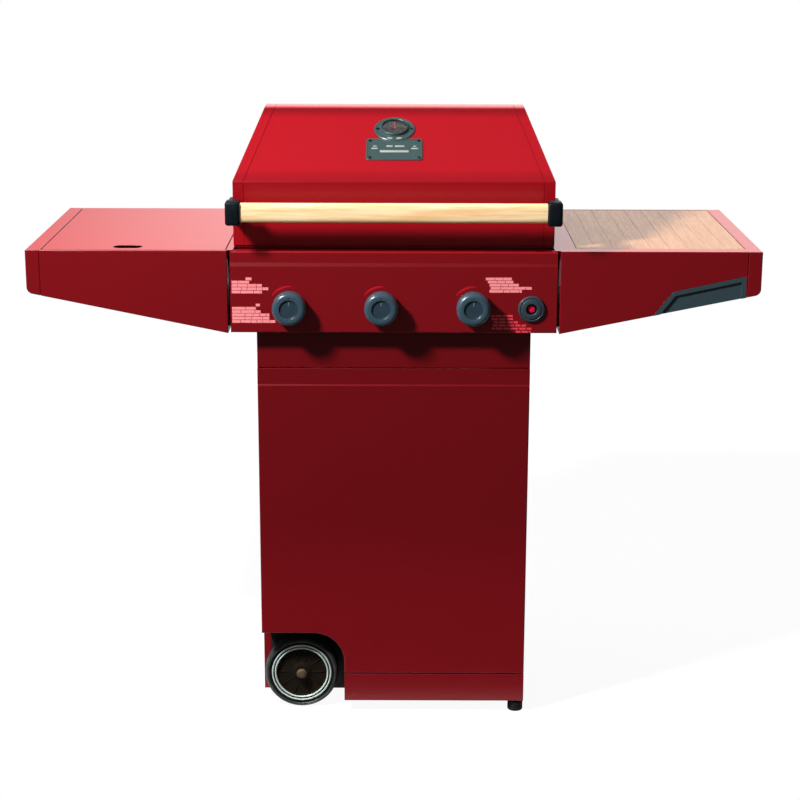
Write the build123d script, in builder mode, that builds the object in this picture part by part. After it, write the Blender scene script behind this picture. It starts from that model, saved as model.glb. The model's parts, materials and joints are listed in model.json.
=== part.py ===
from build123d import *
import math
import os

# Gas barbecue grill on a cabinet cart, in millimetres. +X is to the right of a person who
# stands at the controls, +Y points away from that person, and +Z is up. The origin is on
# the floor, under the centre of the grill's bounding box.

os.makedirs("parts", exist_ok=True)

# Overall sizes
width = 1360.0
depth = 533.0
height = 1165.0
sheet = 1.5
mid_sheet = sheet / 2
bend = 1.4  # outer radius of a folded sheet edge
handle_reach = 45.0
face = -depth / 2 + handle_reach  # front plane of the control panel and both shelves

# Cabinet
cabinet_half = 257.0
cabinet_front = face + 20
cabinet_back = face + 448
cabinet_middle = (cabinet_front + cabinet_back) / 2
cabinet_top = 771.0
skirt_bottom = 24.0
floor_top = 80.0
panel_front = face + 38.5
flange = 14.0

# Wheels, axle and feet
wheel_x = -181.0
wheel_radius = 72.0
wheel_width = 36.0
rim_radius = 64.0
axle_radius = 6.0
running_gap = 0.05
well_top = 165.0
well_right = -95.7
well_corner = 60.0
well_back = face + 80
wheel_front = face + 42
foot_x = 242.0
foot_radius = 15.0
foot_stud_radius = 4.0

# Door
door_bottom = floor_top + sheet
door_top = 698.5
band_bottom = 667.5
band_step = 2.5
door_depth = 14.0
door_bend = 2.4
door_pin_x = 251.0
door_pin_y = face + 29.5
door_pin_radius = 3.0

# Control panel, knobs and igniter
panel_half = 303.0
panel_bottom = 772.5
ledge_bottom = 898.0
ledge_top = 903.0
panel_step = 5.0
knob_middle_x = -23.0
knob_pitch = 170.5
knob_z = 821.5
knob_radius = 31.5
knob_reach = 29.0
knob_back_gap = 4.0
stem_radius = 4.0
igniter_x = 255.5
igniter_z = 819.0
knob_spots = {"left": -1, "middle": 0, "right": 1}

# Firebox, burners and grates
rim_half = 297.0
rim_top = 931.0
rim_thick = 3.5
fire_half = 288.0
fire_front = face + 36
fire_back = face + 448
fire_waist = 870.0
fire_floor = 774.0
floor_half = 250.0
floor_front = face + 110
floor_back = face + 430
cast = 4.0
grate_ledge = 903.0
burner_radius = 12.5
burner_wall = 1.5

# Lid
lid_half = 297.5
lid_top_half = 251.0
lid_bottom = 932.0
lid_crease = 1051.0
lid_front = face + 30
slope_top_y = face + 253
flat_end_y = face + 312
lid_back = face + 455
lid_shoulder = 1062.0
lid_sheet = 2.0
end_strip = 20.0
lid_seam_gap = 0.5
hinge_y = face + 466
hinge_z = 925.0
hinge_x = 200.0
hinge_pin_radius = 4.0
slope = math.atan2(height - lid_crease, slope_top_y - lid_front)

# Shelves
shelf_inner = 308.0
shelf_outer = width / 2
shelf_seam = 654.0
shelf_top = 927.0
shelf_depth = 488.0
shelf_back = face + shelf_depth
shelf_low = 771.0
shelf_tip_x = 672.0
shelf_tip = 845.0
shelf_corner = 8.5
shelf_rise = (shelf_tip - shelf_low) / (shelf_tip_x - shelf_inner)
storage_pin_y = face + 480
storage_pin_z = 915.0


def slab(x, y, z, mode=Mode.ADD):
    """A box between the low and high values of x, y and z."""
    centre = tuple((low + high) / 2 for low, high in (x, y, z))
    with Locations(centre):
        Box(*(high - low for low, high in (x, y, z)), mode=mode)


def rod_x(radius, x, y, z, mode=Mode.ADD):
    """A round rod along X, from x[0] to x[1]."""
    with Locations(Location(((x[0] + x[1]) / 2, y, z), (0, 90, 0))):
        Cylinder(radius, x[1] - x[0], mode=mode)


def rod_y(radius, x, y, z, mode=Mode.ADD):
    """A round rod along Y, from y[0] to y[1]."""
    with Locations(Location((x, (y[0] + y[1]) / 2, z), (90, 0, 0))):
        Cylinder(radius, y[1] - y[0], mode=mode)


def rod_z(radius, x, y, z, mode=Mode.ADD):
    """A round rod along Z, from z[0] to z[1]."""
    with Locations((x, y, (z[0] + z[1]) / 2)):
        Cylinder(radius, z[1] - z[0], mode=mode)


def facing(y):
    """The plane at y that faces the user, with local x along X and local y along Z."""
    return Plane(origin=(0, y, 0), x_dir=(1, 0, 0), z_dir=(0, -1, 0))


def shelf_floor(x):
    """Height of a shelf's sloping underside at a distance x from the grill's middle."""
    return shelf_low + shelf_rise * (x - shelf_inner)


def mirrored(y):
    """The place behind the cabinet's middle that matches y in front of it."""
    return 2 * cabinet_middle - y


# ---------------------------------------------------------------- cabinet
notch_top = well_top + sheet

for name, side, notched in (("left", -1, True), ("right", 1, False)):
    low = skirt_bottom if notched else floor_top
    outer = side * cabinet_half
    skin = sorted((outer, side * (cabinet_half - sheet)))
    lip = sorted((outer, side * (cabinet_half - flange)))
    with BuildPart() as cabinet_side:
        slab(skin, (panel_front, cabinet_back - sheet), (low, cabinet_top))
        slab(lip, (panel_front, panel_front + sheet), (low, cabinet_top))
        slab(lip, (panel_front, cabinet_back - sheet), (cabinet_top - sheet, cabinet_top))
        if notched:
            for start, end in ((panel_front, well_back), (mirrored(well_back), cabinet_back)):
                slab(lip, (start, end), (low, notch_top), Mode.SUBTRACT)
            for start in (well_back, mirrored(well_back) - sheet):
                slab(lip, (start, start + sheet), (low, notch_top))
    cabinet_side.part.label = f"cabinet_{name}_panel"
    export_step(cabinet_side.part, f"parts/cabinet_{name}_panel.step")


def arch_outline(grow=0.0):
    """The wheel opening as seen from the front: flat top, round inner corner, open to the floor."""
    left, low = -cabinet_half - 10, skirt_bottom - 10
    right, top = well_right + grow, well_top + grow
    with BuildSketch() as arch:
        with BuildLine():
            Polyline((left, low), (left, top), (right - well_corner, top))
            RadiusArc((right - well_corner, top), (right, top - well_corner), well_corner)
            Polyline((right, top - well_corner), (right, low), (left, low))
        make_face()
    return arch.sketch


wheel_arch = arch_outline()
well_arch = arch_outline(sheet)

tray_half = 150.0
tray_slot_half = tray_half + 16
vent_width, vent_height, vent_pitch = 60.0, 7.0, 22.0
hose_hole = 18.0

with BuildPart() as cabinet_back_panel:
    inside = cabinet_half - sheet
    slab((-inside, inside), (cabinet_back - sheet, cabinet_back), (skirt_bottom, cabinet_top))
    with BuildSketch(facing(cabinet_back - 2 * sheet)):
        add(well_arch)
    extrude(amount=-4 * sheet, mode=Mode.SUBTRACT)
    slab((-tray_slot_half, tray_slot_half), (cabinet_back - 10, cabinet_back + 10), (735, 780), Mode.SUBTRACT)
    with BuildSketch(facing(cabinet_back - 2 * sheet)):
        for centre in (-110, 110):
            with Locations((centre, 600)):
                with GridLocations(vent_width + 30, vent_pitch, 2, 6):
                    SlotOverall(vent_width, vent_height)
        with Locations((150, 330)):
            Circle(hose_hole)
    extrude(amount=-4 * sheet, mode=Mode.SUBTRACT)
cabinet_back_panel.part.label = "cabinet_back_panel"
export_step(cabinet_back_panel.part, "parts/cabinet_back_panel.step")

rail_front = face + 25
rail_bottom = 700.0

with BuildPart() as cabinet_top_rail:
    slab((-cabinet_half, cabinet_half), (rail_front, rail_front + sheet), (rail_bottom, cabinet_top))
    slab((-cabinet_half, cabinet_half), (rail_front, panel_front), (rail_bottom, rail_bottom + sheet))
    for side in (-1, 1):
        edge = sorted((side * cabinet_half, side * (cabinet_half - sheet)))
        slab(edge, (rail_front, panel_front), (rail_bottom, cabinet_top))
    fillet(cabinet_top_rail.edges().filter_by(Axis.Z).group_by(Axis.Y)[0], bend)
    rod_z(door_pin_radius, door_pin_x, door_pin_y, (door_top - 8, rail_bottom))
cabinet_top_rail.part.label = "cabinet_top_rail"
export_step(cabinet_top_rail.part, "parts/cabinet_top_rail.step")

tank_x = 74.0
tank_y = cabinet_middle
tank_seat_radius = 106.0
skirt_flange = 30.0
foot_spots = (cabinet_front + 17, mirrored(cabinet_front + 17) - sheet)

with BuildPart() as base_pan:
    inside = cabinet_half - sheet
    floor_low = floor_top - sheet
    slab((-inside, cabinet_half), (cabinet_front, cabinet_back - sheet), (floor_low, floor_top))
    slab((-cabinet_half, inside), (cabinet_front, panel_front), (floor_low, floor_top))
    slab((well_right, cabinet_half), (cabinet_front, cabinet_front + sheet), (skirt_bottom, floor_top))
    slab((inside, cabinet_half), (cabinet_front, cabinet_back), (skirt_bottom, floor_low))
    for start in (cabinet_front, cabinet_back - sheet - skirt_flange):
        slab(
            (inside - skirt_flange, cabinet_half), (start, start + skirt_flange),
            (skirt_bottom, skirt_bottom + sheet),
        )
    slab(
        (-cabinet_half, well_right + sheet), (cabinet_front - 1, well_back + sheet),
        (0, floor_top + 1), Mode.SUBTRACT,
    )
    slab((well_right, well_right + sheet), (cabinet_front, panel_front), (skirt_bottom, floor_top))
    slab(
        (-cabinet_half, well_right + sheet), (mirrored(well_back) - sheet, cabinet_back),
        (0, floor_top + 1), Mode.SUBTRACT,
    )
    rod_z(tank_seat_radius, tank_x, tank_y, (floor_low - 1, floor_top + 1), Mode.SUBTRACT)
    rod_z(door_pin_radius, door_pin_x, door_pin_y, (floor_top, door_bottom + 8))
    for spot in foot_spots:
        rod_z(foot_stud_radius, foot_x, spot, (skirt_bottom - 1, skirt_bottom + 3), Mode.SUBTRACT)
base_pan.part.label = "base_pan"
export_step(base_pan.part, "parts/base_pan.step")


def wheel_well(front):
    """Sheet cover round one wheel, open at the cabinet's face and closed behind by the axle plate."""
    reach = well_back - front
    with BuildPart() as well:
        with BuildSketch(facing(front)):
            add(well_arch)
        extrude(amount=-reach)
        with BuildSketch(facing(front - 1)):
            add(wheel_arch)
        extrude(amount=-(reach + 2), mode=Mode.SUBTRACT)
        slab((-400, -cabinet_half + sheet), (front - 5, well_back + 5), (0, 300), Mode.SUBTRACT)
        slab((-400, 0), (front - 5, well_back + 5), (0, skirt_bottom), Mode.SUBTRACT)
        plate_left, plate_right = -cabinet_half + flange, well_right + sheet
        with BuildSketch(facing(well_back)):
            add(well_arch)
        extrude(amount=-sheet)
        slab((-400, plate_left), (well_back - 1, well_back + 5), (0, 300), Mode.SUBTRACT)
        slab((-400, plate_right), (well_back - 1, well_back + 5), (0, skirt_bottom), Mode.SUBTRACT)
        rod_y(axle_radius + running_gap, wheel_x, (well_back - 5, well_back + 5), wheel_radius, Mode.SUBTRACT)
    return well.part


front_well = wheel_well(panel_front)

with BuildPart() as wheel_wells:
    add(front_well)
    mirror(about=Plane.XZ.offset(-cabinet_middle))
wheel_wells.part.label = "wheel_wells"
export_step(wheel_wells.part, "parts/wheel_wells.step")

# ---------------------------------------------------------------- running gear
axle_front = wheel_front - 5
cap_front = axle_front - 1.5
cap_length = 5.0

with BuildPart() as axle:
    rod_y(axle_radius, wheel_x, (axle_front, mirrored(axle_front)), wheel_radius)
    chamfer(axle.edges().filter_by(GeomType.CIRCLE), 0.8)
axle.part.label = "axle"
export_step(axle.part, "parts/axle.step")

with BuildPart() as axle_caps:
    for start in (cap_front, mirrored(cap_front) - cap_length):
        rod_y(10.0, wheel_x, (start, start + cap_length), wheel_radius)
    rod_y(axle_radius, wheel_x, (axle_front, mirrored(axle_front)), wheel_radius, Mode.SUBTRACT)
axle_caps.part.label = "axle_caps"
export_step(axle_caps.part, "parts/axle_caps.step")

with BuildPart() as feet:
    for spot in foot_spots:
        rod_z(foot_radius, foot_x, spot, (0, skirt_bottom))
        rod_z(foot_stud_radius, foot_x, spot, (skirt_bottom, skirt_bottom + 12))
    chamfer(feet.edges().filter_by(GeomType.CIRCLE).group_by(Axis.Z)[0], 1.5)
feet.part.label = "feet"
export_step(feet.part, "parts/feet.step")


def rim(front):
    """A moulded wheel: hub, web and rim band, bored to run on the axle."""
    half_width = wheel_width / 2
    with BuildPart() as disc:
        with BuildSketch(Plane(origin=(wheel_x, front, wheel_radius), x_dir=(1, 0, 0), z_dir=(0, 0, 1))):
            with BuildLine():
                Polyline(
                    (axle_radius + running_gap, 1), (46, 4), (47, 1), (rim_radius - 1, 1), (rim_radius, 2),
                    (rim_radius, wheel_width - 2), (rim_radius - 3, wheel_width - 2),
                    (rim_radius - 3, half_width + 3), (16, half_width + 3), (16, wheel_width - 1),
                    (axle_radius + running_gap, wheel_width - 1), close=True,
                )
            make_face()
        revolve(axis=Axis((wheel_x, front, wheel_radius), (0, 1, 0)))
    return disc.part


def tyre(front):
    """A solid rubber tyre with rounded shoulders."""
    with BuildPart() as ring:
        rod_y(wheel_radius, wheel_x, (front, front + wheel_width), wheel_radius)
        fillet(ring.edges().filter_by(GeomType.CIRCLE), 6)
        rod_y(rim_radius, wheel_x, (front - 1, front + wheel_width + 1), wheel_radius, Mode.SUBTRACT)
    return ring.part


front_rim, front_tyre = rim(wheel_front), tyre(wheel_front)
back_rim = front_rim.mirror(Plane.XZ.offset(-cabinet_middle))
back_tyre = front_tyre.mirror(Plane.XZ.offset(-cabinet_middle))

for name, piece in (
    ("wheel_rim_front", front_rim), ("wheel_tyre_front", front_tyre),
    ("wheel_rim_back", back_rim), ("wheel_tyre_back", back_tyre),
):
    with BuildPart() as wheel_piece:
        add(piece)
    wheel_piece.part.label = name
    export_step(wheel_piece.part, f"parts/{name}.step")

# ---------------------------------------------------------------- door
with BuildPart() as cabinet_door:
    with BuildSketch(facing(cabinet_front)):
        with Locations((0, (door_bottom + door_top) / 2)):
            Rectangle(2 * cabinet_half, door_top - door_bottom)
        add(wheel_arch, mode=Mode.SUBTRACT)
    extrude(amount=-door_depth)
    slab((-300, 300), (cabinet_front - 5, cabinet_front + band_step), (band_bottom, 720), Mode.SUBTRACT)
    fillet(cabinet_door.faces().sort_by(Axis.Y)[0].outer_wire().edges(), door_bend)
    with BuildSketch(facing(cabinet_front + band_step + sheet)):
        with Locations((0, (door_bottom + door_top) / 2)):
            Rectangle(2 * (cabinet_half - sheet), door_top - door_bottom - 2 * sheet)
        add(well_arch, mode=Mode.SUBTRACT)
    extrude(amount=-door_depth, mode=Mode.SUBTRACT)
    for low in (door_bottom - 1, door_top - 3):
        rod_z(door_pin_radius + running_gap, door_pin_x, door_pin_y, (low, low + 4), Mode.SUBTRACT)
cabinet_door.part.label = "cabinet_door"
export_step(cabinet_door.part, "parts/cabinet_door.step")

# ---------------------------------------------------------------- control panel
knob_x = {name: knob_middle_x + spot * knob_pitch for name, spot in knob_spots.items()}
bezel_tube = 12.0
lighting_slot_x = 271.0

with BuildPart() as control_panel:
    with BuildSketch(Plane.YZ):
        with BuildLine():
            FilletPolyline(
                (face + 28, panel_bottom + mid_sheet), (face + mid_sheet, panel_bottom + mid_sheet),
                (face + mid_sheet, ledge_bottom), (face + panel_step + mid_sheet, ledge_top),
                (face + panel_step + mid_sheet, shelf_top - 2 - mid_sheet),
                (face + 27, shelf_top - 2 - mid_sheet), radius=2,
            )
        trace(line_width=sheet)
    extrude(amount=panel_half, both=True)
    for side in (-1, 1):
        end = sorted((side * panel_half, side * (panel_half - sheet)))
        slab(end, (face + panel_step, face + 60), (panel_bottom, shelf_top - 2))
        slab(end, (face + 2, face + panel_step), (panel_bottom, ledge_bottom))
    for x in knob_x.values():
        rod_y(stem_radius + 2, x, (face - 5, face + 8), knob_z, Mode.SUBTRACT)
    rod_y(bezel_tube, igniter_x, (face - 5, face + 8), igniter_z, Mode.SUBTRACT)
    slab(
        (lighting_slot_x - 7, lighting_slot_x + 7), (face + 12, face + 20), (shelf_top - 6, shelf_top + 2),
        Mode.SUBTRACT,
    )
control_panel.part.label = "control_panel"
export_step(control_panel.part, "parts/control_panel.step")

# ---------------------------------------------------------------- gas train
manifold_y = face + 46
manifold_z = 793.0
manifold_radius = 9.0
inlet_x = 215.0
inlet_radius = 7.9
inlet_low = 735.0
inlet_length = 20.0
body_half = 15.0
body_front, body_back = face + 10, face + 55
body_low, body_high = 803.0, 838.0
body_corner = 4.0
nozzle_radius = 5.0
stem_front, flat_end = face - 20, face - 5
flat_rise = 2.6
nut_height, nut_radius = 8.0, 11.0
plug_radius = 7.0
plug_front, plug_back = face + 22, face + 44
nozzle_back = face + 70

with BuildPart() as gas_manifold:
    rod_x(manifold_radius, (knob_x["left"] - 30, inlet_x), manifold_y, manifold_z)
    with Locations((inlet_x, manifold_y, manifold_z)):
        Sphere(manifold_radius + 2)
    rod_z(manifold_radius, inlet_x, manifold_y, (inlet_low + inlet_length + nut_height, manifold_z))
    with BuildSketch(Plane.XY.offset(inlet_low + inlet_length)):
        with Locations((inlet_x, manifold_y)):
            RegularPolygon(nut_radius, 6)
    extrude(amount=nut_height)
    rod_z(inlet_radius, inlet_x, manifold_y, (inlet_low, inlet_low + inlet_length))
gas_manifold.part.label = "gas_manifold"
export_step(gas_manifold.part, "parts/gas_manifold.step")

for name, x in knob_x.items():
    with BuildPart() as valve_body:
        slab((x - body_half, x + body_half), (body_front, body_back), (body_low, body_high))
        fillet(valve_body.edges().filter_by(Axis.Y), body_corner)
        rod_y(nozzle_radius, x, (body_back, nozzle_back), knob_z)
        rod_y(stem_radius + 0.5, x, (body_front - 1, plug_front), knob_z, Mode.SUBTRACT)
        rod_y(plug_radius + running_gap, x, (plug_front - 0.3, plug_back + 0.5), knob_z, Mode.SUBTRACT)
        rod_z(manifold_radius - 2, x, manifold_y, (manifold_z, body_low))
        rod_x(manifold_radius, (x - 20, x + 20), manifold_y, manifold_z, Mode.SUBTRACT)
    valve_body.part.label = f"valve_body_{name}"
    export_step(valve_body.part, f"parts/valve_body_{name}.step")

    with BuildPart() as valve_stem:
        rod_y(stem_radius, x, (stem_front, plug_front), knob_z)
        rod_y(plug_radius, x, (plug_front, plug_back), knob_z)
        slab((x - 5, x + 5), (stem_front - 1, flat_end), (knob_z + flat_rise, knob_z + 5), Mode.SUBTRACT)
    valve_stem.part.label = f"valve_stem_{name}"
    export_step(valve_stem.part, f"parts/valve_stem_{name}.step")

    with BuildPart() as knob:
        front, back = face - knob_reach, face - knob_back_gap
        with BuildSketch(Plane(origin=(x, 0, knob_z), x_dir=(1, 0, 0), z_dir=(0, 0, 1))):
            with BuildLine():
                Polyline((0, front + 3), (17, front + 3), (19, front), (25, front))
                Line((25, front), (knob_radius - 2.5, front + 6))
                Line((knob_radius - 2.5, front + 6), (knob_radius, back - 2))
                Polyline((knob_radius, back - 2), (knob_radius, back), (0, back), (0, front + 3))
            make_face()
        revolve(axis=Axis((x, 0, knob_z), (0, 1, 0)))
        rod_y(stem_radius + running_gap, x, (face - 24, back + 1), knob_z, Mode.SUBTRACT)
        slab((x - 3, x + 3), (face - 19.5, face - 9), (knob_z + 2.8, knob_z + 6))
    knob.part.label = f"knob_{name}"
    export_step(knob.part, f"parts/knob_{name}.step")

# ---------------------------------------------------------------- igniter
bezel_radius = 25.0
button_radius = 7.0
button_hole = 10.0
button_front = face - 3
module_front, module_back = face + 14, face + 52

with BuildPart() as igniter_bezel:
    rod_y(bezel_radius, igniter_x, (face - 7, face), igniter_z)
    fillet(igniter_bezel.edges().filter_by(GeomType.CIRCLE).sort_by(Axis.Y)[0], 5)
    rod_y(bezel_tube - running_gap, igniter_x, (face, module_front), igniter_z)
    rod_y(button_hole, igniter_x, (face - 8, module_front + 1), igniter_z, Mode.SUBTRACT)
igniter_bezel.part.label = "igniter_bezel"
export_step(igniter_bezel.part, "parts/igniter_bezel.step")

with BuildPart() as igniter_module:
    rod_y(14.0, igniter_x, (module_front, module_back), igniter_z)
    rod_y(4.3, igniter_x, (module_front - 1, module_front + 13), igniter_z, Mode.SUBTRACT)
    rod_y(2.0, igniter_x, (module_back, module_back + 8), igniter_z)
igniter_module.part.label = "igniter_module"
export_step(igniter_module.part, "parts/igniter_module.step")

with BuildPart() as igniter_button:
    rod_y(button_radius, igniter_x, (button_front, face + 5), igniter_z)
    fillet(igniter_button.edges().filter_by(GeomType.CIRCLE).sort_by(Axis.Y)[0], 1.5)
    rod_y(4.0, igniter_x, (face + 5, module_front + 7), igniter_z)
igniter_button.part.label = "igniter_button"
export_step(igniter_button.part, "parts/igniter_button.step")

# ---------------------------------------------------------------- firebox
fire_middle = (fire_front + fire_back) / 2
floor_middle = (floor_front + floor_back) / 2
grease_slot = (100.0, 44.0)
ledge_inset = 3 * cast
grease_y = cabinet_middle + 20

with BuildPart() as firebox:
    slab((-fire_half, fire_half), (fire_front, fire_back), (fire_waist, rim_top - rim_thick))
    slab((-rim_half, rim_half), (face + 33, face + 452), (rim_top - rim_thick, rim_top))
    with BuildSketch(Plane.XY.offset(fire_waist)):
        with Locations((0, fire_middle)):
            Rectangle(2 * fire_half, fire_back - fire_front)
    with BuildSketch(Plane.XY.offset(fire_floor)):
        with Locations((0, floor_middle)):
            Rectangle(2 * floor_half, floor_back - floor_front)
    loft()
    slab(
        (-fire_half + cast, fire_half - cast), (fire_front + cast, fire_back - cast),
        (grate_ledge, rim_top + 1), Mode.SUBTRACT,
    )
    with BuildSketch(Plane.XY.offset(grate_ledge)):
        with Locations((0, fire_middle)):
            Rectangle(2 * (fire_half - ledge_inset), fire_back - fire_front - 2 * ledge_inset)
    with BuildSketch(Plane.XY.offset(fire_floor + cast)):
        with Locations((0, floor_middle)):
            Rectangle(2 * (floor_half - cast), floor_back - floor_front - 2 * cast)
    loft(mode=Mode.SUBTRACT)
    for start, end in ((face + 55, face + 86), (face + 422, face + 440)):
        slab((-255, 255), (start, end), (838, 843))
    for x in knob_x.values():
        rod_y(burner_radius + 1.5, x, (fire_front, face + 130), knob_z, Mode.SUBTRACT)
    with BuildSketch(Plane.XY.offset(fire_floor - 1)):
        with Locations((0, grease_y)):
            RectangleRounded(*grease_slot, 10)
    extrude(amount=cast + 2, mode=Mode.SUBTRACT)
    for x in range(-200, 201, 80):
        slab((x - 25, x + 25), (fire_back - 30, fire_back + 5), (880, 888), Mode.SUBTRACT)
firebox.part.label = "firebox"
export_step(firebox.part, "parts/firebox.step")

burner_front, burner_back = face + 60, face + 412
tent_half, tent_rise, tent_low = 48.0, 24.0, 843.0
tent_sheet = 1.2
tent_length = 348.0

for name, x in knob_x.items():
    with BuildPart() as burner:
        rod_y(burner_radius, x, (burner_front, burner_back), knob_z)
        rod_y(burner_radius - burner_wall, x, (burner_front - 1, burner_back - 2), knob_z, Mode.SUBTRACT)
        slab((x - 12, x + 12), (burner_back, burner_back + 10), (knob_z - 3, knob_z + 3))
        with Locations(Location((x, burner_front + 18, knob_z), (0, 90, 0))):
            Cylinder(5, 2 * burner_radius + 5, mode=Mode.SUBTRACT)
        for step in range(14):
            with Locations(Location((x, face + 130 + step * 20, knob_z + 3), (0, 90, 0))):
                Cylinder(1.5, 2 * burner_radius + 5, mode=Mode.SUBTRACT)
    burner.part.label = f"burner_{name}"
    export_step(burner.part, f"parts/burner_{name}.step")

with BuildPart() as heat_tents:
    with BuildSketch(facing(face + 80)):
        for x in knob_x.values():
            with BuildLine():
                Polyline((x - tent_half, tent_low), (x, tent_low + tent_rise), (x + tent_half, tent_low))
                Polyline(
                    (x + tent_half, tent_low), (x + tent_half - 2, tent_low),
                    (x, tent_low + tent_rise - tent_sheet), (x - tent_half + 2, tent_low),
                    (x - tent_half, tent_low),
                )
            make_face()
    extrude(amount=-tent_length)
heat_tents.part.label = "heat_tents"
export_step(heat_tents.part, "parts/heat_tents.step")

grate_rod = 3.0
grate_gap = 1.5
grate_width = fire_half - cast - 2 * grate_gap
grate_front, grate_back = fire_front + cast + 2, fire_back - cast - 2
grate_bars = 13

for name, side in (("left", -1), ("right", 1)):
    with BuildPart() as grate:
        middle = side * (grate_gap + grate_width / 2)
        low, high = middle - grate_width / 2, middle + grate_width / 2
        rod_height = grate_ledge + 3 * grate_rod
        for y in (grate_front + grate_rod, fire_middle, grate_back - grate_rod):
            slab((low, high), (y - grate_rod, y + grate_rod), (grate_ledge, grate_ledge + 2 * grate_rod))
        for bar in range(grate_bars):
            x = low + grate_rod + bar * (grate_width - 2 * grate_rod) / (grate_bars - 1)
            rod_y(grate_rod, x, (grate_front, grate_back), rod_height - grate_rod / 2)
    grate.part.label = f"cooking_grate_{name}"
    export_step(grate.part, f"parts/cooking_grate_{name}.step")

rack_half, rack_front, rack_back, rack_z = 262.0, face + 330, face + 430, 1000.0
rack_rod, rack_bars = 3.0, 15
rack_post_low = grate_ledge + 6 * grate_rod + 0.5

with BuildPart() as rack_grid:
    for y in (rack_front, rack_back):
        slab((-rack_half, rack_half), (y - rack_rod, y + rack_rod), (rack_z - rack_rod, rack_z + rack_rod))
    for bar in range(rack_bars):
        x = -rack_half + rack_rod + bar * 2 * (rack_half - rack_rod) / (rack_bars - 1)
        rod_y(rack_rod - 1, x, (rack_front, rack_back), rack_z)

with BuildPart() as rack_legs:
    for side in (-1, 1):
        post = sorted((side * rack_half, side * (rack_half - 2 * rack_rod)))
        foot = sorted((side * rack_half, side * (fire_half + cast)))
        for y in (rack_front, rack_back):
            slab(post, (y - rack_rod, y + rack_rod), (rack_post_low, rack_z - rack_rod))
            slab(foot, (y - rack_rod, y + rack_rod), (rim_top, rim_top + rack_rod))

with BuildPart() as warming_rack:
    add(rack_grid.part)
    add(rack_legs.part)
warming_rack.part.label = "warming_rack"
export_step(warming_rack.part, "parts/warming_rack.step")

with BuildPart() as electrode:
    spark_x, spark_y = knob_x["right"] + 32, face + 150
    rod_z(4.0, spark_x, spark_y, (fire_floor + cast, 815))
    rod_z(1.2, spark_x, spark_y, (815, 826))
    slab((spark_x - 10, spark_x), (spark_y - 1.2, spark_y + 1.2), (824, 826.4))
electrode.part.label = "electrode"
export_step(electrode.part, "parts/electrode.step")

# ---------------------------------------------------------------- grease tray
tray_low, tray_high = 738.0, 764.0
tray_front, tray_back = face + 135, face + 452
tray_wall = 1.5

with BuildPart() as grease_tray:
    slab((-tray_half, tray_half), (tray_front, tray_back), (tray_low, tray_high))
    slab(
        (-tray_half + tray_wall, tray_half - tray_wall), (tray_front + tray_wall, tray_back - tray_wall),
        (tray_low + tray_wall, tray_high + 1), Mode.SUBTRACT,
    )
    for side in (-1, 1):
        ear = sorted((side * tray_half, side * (tray_half + 10)))
        slab(ear, (tray_front, tray_back), (tray_high - sheet, tray_high))
    slab((-60, 60), (tray_back, tray_back + 14), (tray_high - 1.5, tray_high))
grease_tray.part.label = "grease_tray"
export_step(grease_tray.part, "parts/grease_tray.step")

with BuildPart() as grease_rails:
    for side in (-1, 1):
        web = sorted((side * (tray_half + 12), side * (tray_half + 14)))
        lip = sorted((side * (tray_half + 2), side * (tray_half + 14)))
        slab(web, (tray_front, face + 440), (tray_high - 4, fire_floor))
        slab(lip, (tray_front, face + 440), (tray_high - 4, tray_high - 2))
        top = sorted((side * (tray_half + 12), side * (tray_half + 30)))
        slab(top, (tray_front, face + 430), (fire_floor - 2, fire_floor))
grease_rails.part.label = "grease_rails"
export_step(grease_rails.part, "parts/grease_rails.step")

# ---------------------------------------------------------------- shelves
lip = 7.0
bolt_spots = [(face + 120, 800.0), (face + 120, 895.0), (face + 380, 800.0), (face + 380, 895.0)]
bolt_radius = 3.0
board_front, board_back = face + 30, face + 480
board_floor = 907.5
board_left, board_right = 338.0, shelf_seam - sheet
grip_low, grip_knee, grip_end = (431.0, 740.0), (517.0, 852.0), (652.0, 881.5)
grip_rim = 8.5
grip_recess = 3.0
grip_wall = 3.0
grip_depth = 36.0


def side_outline(start, end, inset):
    """Front view of a shelf between two distances from the middle, with its sloping underside."""
    with BuildSketch() as outline:
        Polygon(
            (start + inset, shelf_floor(start + inset) + inset), (start + inset, shelf_top + 10 * inset),
            (end - inset, shelf_top + 10 * inset), (end - inset, shelf_floor(end - inset) + inset),
            align=None,
        )
    return outline.sketch


with BuildSketch() as grip_outline:
    Polygon(grip_low, grip_knee, grip_end, (grip_end[0], grip_low[1]), align=None)
grip_face = grip_outline.sketch
shelf_face = side_outline(shelf_inner, shelf_seam, 0)
shelf_hollow = side_outline(shelf_inner, shelf_seam, sheet)

with BuildPart() as shelf_shell:
    with BuildSketch(facing(face)):
        add(shelf_face)
    extrude(amount=-shelf_depth)
    with BuildSketch(facing(face + sheet)):
        add(shelf_hollow)
    extrude(amount=-(shelf_depth - 2 * sheet), mode=Mode.SUBTRACT)
    slab((shelf_inner, shelf_seam), (face, face + lip), (shelf_top - sheet, shelf_top))
    fillet(shelf_shell.faces().sort_by(Axis.Y)[0].outer_wire().edges(), bend)
    slab((rim_half, shelf_inner), (face + lip, shelf_back), (shelf_top - sheet, shelf_top))
    for y, z in bolt_spots:
        rod_x(bolt_radius + 0.2, (shelf_inner - 1, shelf_inner + 3), y, z, Mode.SUBTRACT)

storage_half_hole = 27.0
finger_x, finger_y = 495.0, face + 38
tray_rim_z = 903.0
lid_drop = 20.0
ledge_reach = 12.0

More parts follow.
